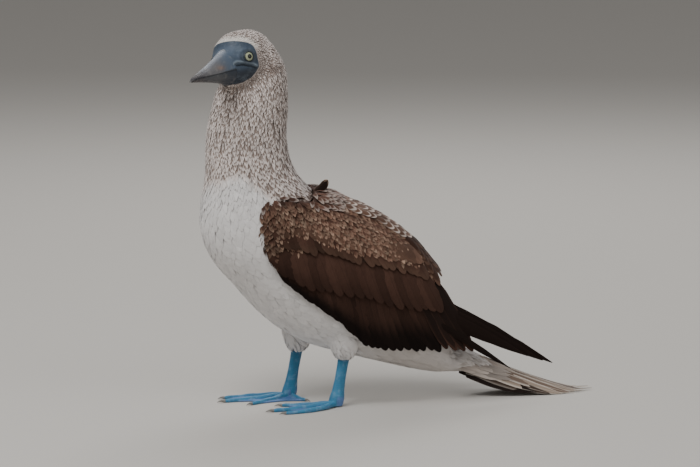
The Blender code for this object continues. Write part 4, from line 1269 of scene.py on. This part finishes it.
def rounded(t):
    """Width of a covert or secondary along its length: narrow root, broad vane, rounded tip."""
    broad = 0.45 + 0.55 * np.sin(np.minimum(t / 0.45, 1) * math.pi / 2)
    return broad * np.sqrt(np.maximum(1 - np.maximum((t - 0.62) / 0.382, 0) ** 2, 0.008))


def pointed(t):
    """Width of a primary or tail feather, which tapers to a blunt point."""
    broad = 0.55 + 0.45 * np.sin(np.minimum(t / 0.4, 1) * math.pi / 2)
    return broad * (1 - np.maximum((t - 0.45) / 0.565, 0) ** 1.8)


def big_feather(at, half_width, shape, slope, thickness=0.45 * MM):
    """Rings of one large feather. at(t, across, lift) gives its points, and slope tilts it under its neighbour."""
    seed = RNG.random() * 90
    t = BIG_ROWS[:, None]
    across = np.array([s for s, _ in BIG_RING])
    under = np.array([u for _, u in BIG_RING])
    ragged = np.array([[noise.noise(Vector((row * 14, s * 1.5, seed))) for s in across] for row in BIG_ROWS])
    half = half_width * shape(t) * (1 + 0.10 * ragged * np.abs(across) * smoothstep(0.2, 0.5, t))
    offset = half * across
    camber = -0.10 * half * across**2 + 0.22 * MM * (np.abs(across) < 0.1) * (1 - t)
    bend = 0.35 * MM * ragged * np.abs(across)
    return at(t + 0 * across, offset, camber + bend - offset * slope - under * thickness)


def on_wing(side, root, tip, heights, bow=0.0):
    """Lays a feather over the wing's bed from root to tip, at heights in mm read along its length."""
    root, tip = np.array(root, float) * MM, np.array(tip, float) * MM
    run = tip - root
    square = np.array((-run[1], run[0])) / np.hypot(*run)

    def at(t, across, lift):
        sway = across + bow * MM * np.sin(math.pi * t)
        a = root[0] + run[0] * t + square[0] * sway
        d = root[1] + run[1] * t + square[1] * sway
        height = np.interp(t, np.linspace(0, 1, len(heights)), heights) * MM
        return from_axis(a, d, bed(a, d) + height + lift, side)

    return at


def tier(side, roots, tips, count, half_width, heights, slope, stagger=1.5):
    """A row of feathers from the wrist to the elbow. Each laps the one nearer the wrist."""
    found = []
    for k in range(count):
        share = k / (count - 1)
        root, tip = curve_at(roots, share), curve_at(tips, share)
        tip = tip + RNG.normal(0, stagger, 2)
        bow = RNG.normal(0, 0.6)
        width = half_width * MM * RNG.normal(1, 0.04)
        found.append(big_feather(on_wing(side, root, tip, heights, bow), width, rounded, slope))
    return found


def primary(side, root, tip, outs, half_width):
    start, run = np.array(root) * MM, (np.array(tip) - root) * MM
    square = np.array((-run[1], run[0])) / np.hypot(*run)

    def at(t, across, lift):
        a = start[0] + run[0] * t + square[0] * across
        d = start[1] + run[1] * t + square[1] * across
        out = (outs[0] + (outs[1] - outs[0]) * t) * MM + lift - 0.8 * MM * (across / (12 * MM)) ** 2
        return from_axis(a, d, out, side)

    return big_feather(at, half_width * MM, pointed, 0.0, 0.6 * MM)


def scapular(side, middle, start, long, half_width, rise):
    """A feather of the shoulder, lying back over the roof."""
    sway = RNG.normal(0, 0.02)

    def at(t, across, lift):
        a = start + long * t
        wide = bed(a * MM, np.interp(a, *np.array(ROOF_EDGE, float).T) * MM)
        share = middle + (0.1 + sway) * t + across / (wide * 1.3)
        return roof_point(side, a, share, (-0.5 + rise * np.sin(t * math.pi / 2)) * MM + lift)

    return big_feather(at, half_width * MM, rounded, 0.0, 0.4 * MM)


def atlas(count):
    """The middle of one cell of a ten by ten grid for each of up to a hundred large feathers."""
    index = np.arange(count)
    return np.stack([0.05 + 0.1 * (index % 10), 0.05 + 0.1 * (index // 10)], axis=1)


def big_piece(name, look, feathers, roots, tips, marks, slot="brown_plumage", replaced=()):
    count = len(feathers)
    vary = 1 + 0.18 * np.clip(RNG.normal(0, 1, (count, 1)), -2, 2)
    roots, tips = np.broadcast_to(roots, (count, 3)) * vary, np.broadcast_to(tips, (count, 3)) * vary
    marks = np.broadcast_to(marks, (count, 3)) + RNG.normal(0, 0.02, (count, 3)) * (1, 0, 1)
    return feather_piece(
        name, look, np.array(feathers), BIG_ROWS, BIG_RING, BIG_CAP, atlas(count), roots, tips, marks, 0.088,
        replaced, slot,
    )


def wing_small(side, points, faces, lie, look):
    """Lesser coverts over the arm, and short feathers between the long ones of the shoulder."""
    tree = BVHTree.FromPolygons([Vector(point) for point in points], faces)
    centres, normals = centres_of(points, faces), normals_of(points, faces)
    facing = np.array([normals[face[0]] for face in faces])
    places = to_axis(centres)
    arm = inside(places, WING_TOP + WING_LOW[::-1])
    outward = facing[:, 1] * SIDES[side] > 0.12 - 0.5 * smoothstep(-66, -80, places[:, 0])
    above = (facing[:, 2] > 0.05) | outward
    low_edge = np.interp(places[:, 0] + 15, *np.array(MEDIAN_TIPS, float).T) + 14
    low_edge = low_edge - 70 * smoothstep(-46, -60, places[:, 0])
    on_arm = arm & above & (places[:, 1] > low_edge)
    on_roof = ~arm & above & (places[:, 1] > 20)
    roots = scatter(points, faces, np.where(on_arm, 2.8, np.where(on_roof, 3.6, 0)) * MM)
    where = to_axis(roots)
    on_arm = inside(where, WING_TOP + WING_LOW[::-1])
    cos, sin = math.cos(BODY_SLOPE), math.sin(BODY_SLOPE)
    slant = np.interp(where[:, 0], [-100, -60, 0, 120], [-1.2, -0.85, -0.62, -0.5])
    sweep = np.stack([cos + slant * sin, np.zeros(len(roots)), -sin + slant * cos], axis=1)
    sweep /= np.linalg.norm(sweep, axis=1, keepdims=True)
    body_way, _ = lie.read(roots)
    ways = turned(np.where(on_arm[:, None], sweep, body_way), 9, tree, roots)
    count = len(roots)
    front = smoothstep(-22, -34, where[:, 0]) * ~on_arm
    lengths = np.where(on_arm, 14, 17) * MM * RNG.normal(1, 0.09, count)
    widths = np.where(on_arm, 2.3, 3.0) * MM * RNG.normal(1, 0.08, count)
    leading = 2.4 * smoothstep(-62, -80, where[:, 0])
    lifts = np.where(on_arm, 3.0 + leading, 1.2 + 2.6 * front) * MM * RNG.normal(1, 0.08, count)
    rings = small_feathers(tree, roots, ways, lengths, widths, lifts, BROAD)
    bright = np.clip(1 + 0.2 * RNG.normal(0, 1, (count, 1)) + 0.25 * mottle(roots, 0.02)[:, None], 0.5, 1.7)
    bright *= np.interp(where[:, 0], (-90, -35), (1.15, 1.65))[:, None] * np.interp(where[:, 1], (-5, 25), (0.6, 1))[:, None]
    fleck = RNG.random((count, 1)) ** 1.5
    root = BROWN_DEEP * bright
    tip = blend(BROWN * 0.95, BROWN_TAN * 0.62, fleck[:, 0]) * bright
    tip = blend(tip, STREAK_PALE * 0.6, 0.5 * front)
    mark = np.stack([RNG.normal(0.62, 0.06, count), np.full(count, 0.3), np.full(count, 0.4)], axis=1)
    unwrap = np.stack([0.05 + (where[:, 0] + 130) / 330, 0.1 + (where[:, 1] + 45) / 170], axis=1)
    feather_piece(
        f"wing_{side}_lesser", look, rings, BROAD[0], SMALL_RING, SMALL_CAP, np.clip(unwrap, 0.01, 0.99),
        root, tip, mark, slot="brown_plumage",
    )


def make_wing(side, lie, looks):
    points, faces = fused([arm_shape(side), roof_shape(side)], 1.8 * MM, 4)
    core = piece(f"wing_{side}_skin", points, faces, looks["skin"], [f"wing_{side}"])
    paint(core, "tint", np.tile(BROWN_DEEP, (len(points), 1)))
    paint(core, "bare", np.full(len(points), -9.0), "FLOAT")
    wing_small(side, points, faces, lie, looks["brown"])
    flight = tier(side, SECONDARY_ROOTS, SECONDARY_TIPS, 26, 9.6, (0.6, 0.8, 0.8, 0.4), 0.085, 0.9)
    flight += [
        big_feather(on_wing(side, root, tip, (0.8, 1.8, 1.5, 1.0), 3), 9 * MM, rounded, 0.085) for root, tip in TERTIALS
    ]
    flight += [primary(side, *blade) for blade in PRIMARIES]
    roots = np.array([BROWN_DEEP * 0.75] * 26 + [BROWN_BLACK] * 4 + [BROWN_BLACK * 0.7] * 4)
    tips = np.array([BROWN_BLACK * 0.45] * 26 + [BROWN_DEEP] * 4 + [BROWN_BLACK * 0.9] * 4)
    marks = np.array([(0.45, 0.4, 0.3)] * 26 + [(0.95, 0.07, 0.5)] * 4 + [(0.93, 0.07, 0.5)] * 4)
    big_piece(f"wing_{side}_flight", looks["brown"], flight, roots, tips, marks)
    coverts = tier(side, GREATER_ROOTS, GREATER_TIPS, 19, 8.8, (1.5, 4.0, 4.0, 3.6), 0.08, 1.2)
    coverts += tier(side, MEDIAN_ROOTS, MEDIAN_TIPS, 26, 6.8, (1.5, 5.2, 5.4, 5.0), 0.075, 2.2)
    upper_roots, upper_tips = np.array(MEDIAN_ROOTS) + (-8, 5), np.array(MEDIAN_TIPS) + (-12, 12)
    coverts += tier(side, upper_roots, upper_tips, 28, 5.6, (1.5, 5.6, 6.2, 6.0), 0.07, 2.6)
    back = np.concatenate([np.linspace(0, 1, count) for count in (19, 26, 28)])[:, None]
    roots = np.array([BROWN_DEEP] * 19 + [BROWN_DEEP * 1.1] * 26 + [BROWN * 0.8] * 28) * (0.85 + 0.3 * back)
    tips = np.array([BROWN_DEEP * 0.8] * 19 + [BROWN * 0.7] * 26 + [BROWN] * 28) * (0.6 + 0.6 * back)
    marks = np.array([(0.45, 0.5, 0.35)] * 19 + [(0.6, 0.35, 0.4)] * 54)
    big_piece(f"wing_{side}_coverts", looks["brown"], coverts, roots, tips, marks)
    short, dark = [], []
    for middle, first, last, long, half_width, rise, count in SCAPULAR_ROWS:
        for start in np.linspace(first, last, count) + RNG.normal(0, 1.5, count):
            width = half_width * RNG.normal(1, 0.05)
            short.append(scapular(side, middle + RNG.normal(0, 0.02), start, long, width, rise))
            dark.append(long > 40)
    dark = np.array(dark)[:, None]
    roots = np.where(dark, BROWN_DEEP * 0.8, BROWN)
    tips = np.where(dark, BROWN * 0.8, CRESCENT)
    big_piece(f"wing_{side}_scapulars", looks["brown"], short, roots, tips, (0.84, 0.14, 0.3))


# Tail
TAIL_ROOT = (162 * MM, 60.5 * MM)
TAIL_TIP_X = 334 * MM
TAIL_BEND = 1.35
TAIL_PAIRS = [  # from the middle out: x of the tip, splay and tilt in degrees, out from and below the ridge
    (334, 0.4, 12, 6.2, 0.0),
    (320, 2.2, 32, 11, 3.5),
    (304, 4.0, 50, 15.5, 9.5),
    (288, 4.8, 62, 17.5, 16),
    (270, 5.4, 70, 18.5, 22.5),
    (252, 6.0, 75, 19, 29),
]
TAIL_CLOSING = 0.4
TAIL_COVERTS = [(158, 58), (150, 50), (146, 34)]  # where each row starts and how long it is, in mm
TAIL_COVERT_PAIRS = (4.0, 3.2, 2.4, 1.6, 0.8, 0.1)
TAIL_RIDGE, TAIL_SIDE, TAIL_OUTER = srgb(80, 61, 51), srgb(146, 130, 117), srgb(36, 25, 21)
TAIL_FRINGE = srgb(206, 196, 184)
TAIL_PALENESS = [(0, 0), (0.9, 0), (0.35, 0), (1, 0), (0.2, 0.6), (0, 1)]  # of each pair: as side, as outer


def tail_point(side, pair, x, offset, lift):
    """A place on the tail's steep roof, whose middle pair of feathers ends on the floor. pair may be a fraction."""
    tip_x, splay, tilt, out_from, drop = at_station(TAIL_PAIRS, pair)
    turn, lean = math.tan(math.radians(splay)), math.radians(tilt)
    ridge = TAIL_ROOT[1] * np.maximum(1 - (x - TAIL_ROOT[0]) / (TAIL_TIP_X - TAIL_ROOT[0]), 0) ** TAIL_BEND
    share = (x - TAIL_ROOT[0]) / (tip_x * MM - TAIL_ROOT[0])
    offset = offset * SIDES[side]
    out = out_from * MM + (x - TAIL_ROOT[0]) * turn + offset * math.cos(lean) + lift * math.sin(lean)
    z = ridge - drop * MM * (1 - TAIL_CLOSING * share) + lift * math.cos(lean) - offset * math.sin(lean)
    floor = 0.7 * MM + 0.45 * MM * (len(TAIL_PAIRS) - 1 - pair)
    z = np.maximum(z, floor + np.minimum(lift, 0))
    return np.stack([x, np.maximum(out, MIDLINE) * SIDES[side], np.maximum(z, 0)], axis=-1)


def tail_feather(side, pair):
    long = TAIL_PAIRS[pair][0] * MM - TAIL_ROOT[0]

    def at(t, across, lift):
        lift = lift - 3.5 * MM * (1 - smoothstep(0, 0.2, t))
        return tail_point(side, pair, TAIL_ROOT[0] + t * long, across, lift)

    return big_feather(at, 8.5 * MM, pointed, 0.0, 0.5 * MM)


def tail_covert(side, pair, start, long):
    """A short feather lapping from the rump over the roots of the tail."""

    def at(t, across, lift):
        rise = (2.6 * np.sin(t * math.pi * 0.75) - 1) * MM
        return tail_point(side, pair, (start + long * t) * MM, across, lift + rise)

    return big_feather(at, 5.6 * MM, pointed, 0.0, 0.4 * MM)


def make_tail(look, soft):
    order = [(side, pair) for pair in range(len(TAIL_PAIRS)) for side in SIDES]
    feathers = [tail_feather(side, pair) for side, pair in order]
    pale, outer = np.array([TAIL_PALENESS[pair] for _, pair in order]).T
    roots = blend(blend(TAIL_RIDGE, TAIL_SIDE, pale), TAIL_OUTER, outer)
    edges = blend(TAIL_FRINGE, TAIL_OUTER * 1.6, outer)
    big_piece("tail_feathers", look, feathers, roots, edges, (1.3, 0.2, 0.85), "tail_plumage", ["tail"])
    places = [(side, pair, start, long) for start, long in TAIL_COVERTS for pair in TAIL_COVERT_PAIRS for side in SIDES]
    lapped = [
        tail_covert(side, pair, start + RNG.normal(0, 2), long * RNG.normal(1, 0.14))
        for side, pair, start, long in places
    ]
    pale = smoothstep(0, 1.6, np.array([pair for _, pair, _, _ in places]))
    # The outer coverts take the vent's grey-brown, partly their own tone and partly painted shade.
    roots, tips = blend(TAIL_RIDGE * 1.6, VENT_TONE_AND_SHADE, pale), blend(TAIL_SIDE, VENT_TONE_AND_SHADE * 1.35, pale)
    big_piece("tail_coverts", soft, lapped, roots, tips, (0.4, 0.5, 0.5), "tail_plumage")


def make_tuft(look):
    """One loose dark feather that stands up at the front of the left shoulder."""
    base, tip = np.array((-42, -28, 270)) * MM, np.array((-23, -28, 287)) * MM
    run = tip - base
    feathers = []
    for shift, width in ((0.0, 5.4), (2.0, 4.2)):

        def at(t, across, lift, shift=shift):
            line = base + run * t[..., None] * (1 - 0.08 * shift / 3)
            curl = 2.0 * MM * np.sin(math.pi * t)
            square = np.array((0.69, 0.0, -0.72))
            return line + square * (across + curl)[..., None] + np.array((0, -1, 0)) * (lift + shift * MM)[..., None]

        feathers.append(big_feather(at, width * MM, rounded, 0.0, 0.4 * MM))
    big_piece("shoulder_tuft", look, feathers, BROWN_BLACK * 1.3, BROWN_TAN, (0.95, 0.12, 0.1))


# Legs
def toe_direction(side, degrees):
    turn = -math.radians(degrees) * -SIDES[side]
    aim = math.radians(FEET[side]["toes"])
    facing = Vector((-math.cos(aim), -math.sin(aim), 0))
    return np.array(Matrix.Rotation(turn, 3, "Z") @ facing)


def toe_path(side, index, t):
    """Middle of a toe at share t of its length, sinking from the heel to the floor."""
    degrees, length, _, bow = TOES[index]
    heel = np.array(FEET[side]["heel"]) * MM
    spot = np.array((heel[0], heel[1], 0)) + toe_direction(side, degrees) * (length * MM * t)
    spot += toe_direction(side, degrees - 90) * (bow * MM * math.sin(math.pi * min(t, 1)))
    spot[2] = (3.2 * (1 - t) ** 2 + 2.0) * MM
    return spot


def toe_heading(side, index, t):
    """The way a bowed toe runs at share t of its length."""
    degrees, length, _, bow = TOES[index]
    outward_slope = bow * math.pi / length * math.cos(math.pi * t)
    return toe_direction(side, degrees - math.degrees(math.atan(outward_slope)))


def toe_shape(side, index):
    _, length, radius, _ = TOES[index]
    rings = []
    for t in np.linspace(-0.04, 1.0, 40):
        along = toe_heading(side, index, max(t, 0))
        across = np.cross(along, (0, 0, 1))
        size = radius * (1 - 0.42 * max(t, 0)) * MM
        knuckle = 1 + 0.10 * math.cos(2 * math.pi * (3.1 if index else 2.0) * t + 1.0)
        size *= knuckle * (1 if t < 0.97 else 0.8)
        centre = toe_path(side, index, max(t, 0)) + along * min(t, 0) * length * MM
        ring = limb_ring(centre, size, size, 20, along, across)
        ring[:, 2] = np.maximum(ring[:, 2], 0)
        rings.append(ring)
    return loft(rings)


def web_shape(side):
    """The web that joins all four toes, its free edges drawn in between the tips."""
    heel = np.array(FEET[side]["heel"]) * MM * (1, 1, 0)
    rim = []
    for index in range(len(TOES) - 1):
        for t in np.linspace(0, 1, 16)[: None if index == len(TOES) - 2 else -1]:
            reach = 1 - (0.30 if index else 0.26) * math.sin(math.pi * t)
            first, second = (toe_path(side, index + k, 0.93) for k in (0, 1))
            spot = heel + (first * (1 - t) + second * t - heel) * reach
            rim.append(spot * (1, 1, 0))
    rim += [toe_path(side, len(TOES) - 1, t) * (1, 1, 0) for t in np.linspace(0.84, 0.14, 8)]
    rim.append(heel + (heel - np.mean(rim, axis=0)) * 0.06)
    rings = []
    for share, height in ((0.03, 0.25), (1.0, 0.25), (1.0, 1.9), (0.6, 2.1), (0.03, 5.2)):
        rings.append([heel + (spot - heel) * share + (0, 0, height * MM) for spot in rim])
    return loft(rings)


def leg_shapes(side):
    ankle, heel = (np.array(FEET[side][key]) * MM for key in ("ankle", "heel"))
    axis = (heel - ankle) / np.linalg.norm(heel - ankle)
    rings = []
    low = np.array(SHANK, float).T
    for t in np.linspace(-0.06, 1.2, 22):
        deep, wide = (np.interp(t, low[0], low[k]) - 0.4 - 5.0 * max(t - 1.06, 0) for k in (1, 2))
        centre = ankle + (heel - ankle) * t
        centre[2] = max(centre[2], 1.2 * MM)
        rings.append(limb_ring(centre, deep * MM, wide * MM, 32, axis, (1, 0, 0)))
    return [loft(rings), web_shape(side)] + [toe_shape(side, index) for index in range(len(TOES))]


def paint_leg(made, points, side):
    """Scutes along toes and shank, small scales beside them and fine folds on the web."""
    heel, ankle = (np.array(FEET[side][key]) * MM for key in ("heel", "ankle"))
    rise = smoothstep(10, 16, points[:, 2] / MM)
    flat = points * (1, 1, 0)
    scute = points[:, 2] / (2.3 * MM)
    near = np.full(len(points), 1e9)
    for degrees, length, radius, bow in TOES:
        along, outer = toe_direction(side, degrees), toe_direction(side, degrees - 90)
        offset = flat - heel * (1, 1, 0)
        share = np.clip(offset @ along, 0, length * MM)
        t = share / (length * MM)
        line = share[:, None] * along + (bow * MM * np.sin(math.pi * t))[:, None] * outer
        away = np.linalg.norm(offset - line, axis=1) / (radius * MM * (1 - 0.42 * t))
        closer = (away < near) & (rise < 0.5)
        scute = np.where(closer, share / (1.9 * MM), scute)
        near = np.minimum(near, away)
    front = (points[:, 0] < (ankle + heel)[0] / 2 - 1.5 * MM) & (rise > 0.5)
    mask = np.where(rise > 0.5, smoothstep(0, 1, front), smoothstep(1.15, 0.7, near))
    web = (1 - rise) * smoothstep(0.9, 1.4, near)
    paint(made, "scale", np.stack([scute, mask, web], axis=1), "FLOAT_VECTOR")
    tint = blend(LEG_BLUE, WEB_BLUE, web)
    tint = blend(tint, LEG_BLUE * 0.6, 0.5 * smoothstep(46, 60, points[:, 2] / MM))
    tint = tint * (1 + 0.14 * mottle(points, 0.008))[:, None]
    paint(made, "tint", np.clip(tint, 0, 1))


def make_leg(side, look):
    points, faces = fused(leg_shapes(side), 0.75 * MM, 4)
    heel = np.array(FEET[side]["heel"]) * MM
    offset = points - heel
    reach, turn = np.hypot(offset[:, 0], offset[:, 1]), np.arctan2(offset[:, 1], -offset[:, 0])
    top = smoothstep(1.2, 1.8, points[:, 2] / MM) * smoothstep(9, 6, points[:, 2] / MM) * smoothstep(12, 22, reach / MM)
    radial = np.stack([np.cos(turn) * 9, np.sin(turn) * 9, reach / (60 * MM)], axis=1)
    folds = mottle(radial, 0.36) * 0.30 + mottle(points, 0.0022) * 0.10
    points = points + np.stack([0 * top, 0 * top, folds * top * MM], axis=1)
    points[:, 2] = np.maximum(points[:, 2], 0)
    made = piece(f"leg_{side}", points, faces, look, [f"shank_{side}", f"foot_{side}"])
    paint_leg(made, points, side)


def make_claws(side, look):
    for index, long in enumerate(CLAW_LENGTH):
        along = toe_heading(side, index, 1)
        across = np.cross(along, (0, 0, 1))
        size = TOES[index][2] * 0.54 * MM
        start = toe_path(side, index, 1.0) - along * 1.2 * MM
        rings = []
        for t in np.linspace(0, 1, 18):
            centre = start + along * ((long + 1.2) * MM * t) + np.array((0, 0, 0.9 * math.sin(math.pi * t) - 0.9 * t**2)) * MM
            share = (1 - t) ** 0.75 * 0.93 + 0.07
            ring = limb_ring(centre, size * share * 0.85, size * share, 18, along, across)
            ring[:, 2] = np.maximum(ring[:, 2], 0.05 * MM)
            rings.append(ring)
        local, faces = loft(rings)
        piece(f"claw_{side}_{index + 1}", local, faces, look, [f"claw_{side}_{index + 1}"])


# Stage
def make_stage():
    """A plain pale floor and soft studio light."""
    bpy.ops.mesh.primitive_plane_add(size=14, location=(0, 0, 0))
    floor = bpy.context.object
    floor.name = "floor"
    g = Graph("floor_paint", Roughness=0.9, Specular_IOR_Level=0.2)
    floor.data.materials.append(g.finish(tuple(srgb(196, 192, 186))))
    world = bpy.data.worlds.new("studio")
    bpy.context.scene.world = world
    world.use_nodes = True
    background = world.node_tree.nodes["Background"]
    background.inputs["Color"].default_value = (0.92, 0.91, 0.90, 1)
    background.inputs["Strength"].default_value = 0.32
    for name, place, size, power in (
        ("key", (-1.5, -1.1, 2.9), 1.6, 80),
        ("fill", (1.8, -2.4, 1.5), 2.2, 17),
        ("back", (0.8, 2.2, 2.2), 1.6, 34),
    ):
        lamp = bpy.data.lights.new(name, "AREA")
        lamp.size, lamp.energy = size, power
        made = bpy.data.objects.new(name, lamp)
        bpy.context.scene.collection.objects.link(made)
        made.location = place
        made.rotation_euler = (Vector((0, 0, 0.2)) - Vector(place)).to_track_quat("-Z", "Y").to_euler()


def make_camera():
    """The photo's camera: a long lens from the bird's left and a little in front, looking slightly down."""
    turn, fall, distance = math.radians(15), math.radians(8), 5.0
    right = np.array((math.cos(turn), -math.sin(turn), 0))
    forward = np.array((math.sin(turn) * math.cos(fall), math.cos(turn) * math.cos(fall), -math.sin(fall)))
    up = np.cross(right, forward)
    target = right * 0.0127 + up * 0.2127 + SHIFT
    lens = bpy.data.cameras.new("photo_camera")
    lens.sensor_width = 36
    lens.lens = 36 * distance / 0.889
    camera = bpy.data.objects.new("photo_camera", lens)
    bpy.context.scene.collection.objects.link(camera)
    camera.location = target - forward * distance
    camera.rotation_mode = "QUATERNION"
    camera.rotation_quaternion = Vector(forward).to_track_quat("-Z", "Y")
    bpy.context.scene.camera = camera


def make_bird():
    soft = plumage_look("soft_plumage", 90, 0.08, (0.0, WHITE), 0.2, 0.9, 0.08)
    stiff = plumage_look("brown_plumage", 130, 0.42, (0.2, BROWN_BLACK), 0.05, 0.66, 0.35)
    tail = plumage_look("tail_plumage", 150, 0.22, (0.7, srgb(200, 190, 178)), 0.1, 0.6, 0.35)
    skin = skin_look()
    horn = plain_look("claw_horn", srgb(150, 146, 140), 0.45, srgb(112, 110, 108))
    lie = Lie()
    points, faces = make_skin()
    body = piece("skin", points, faces, skin, ["torso", "neck", "head", "thigh_left", "thigh_right"])
    paint_skin(body, points, lie)
    make_coat(points, faces, lie, soft)
    make_bill(horn_look())
    eye = eye_look()
    leg = leg_look()
    for side in SIDES:
        make_eye(side, eye)
        make_lids(side, skin)
        make_wing(side, lie, {"skin": skin, "brown": stiff})
        make_leg(side, leg)
        make_claws(side, horn)
    make_tail(tail, soft)
    make_tuft(stiff)


make_bird()
make_stage()
make_camera()
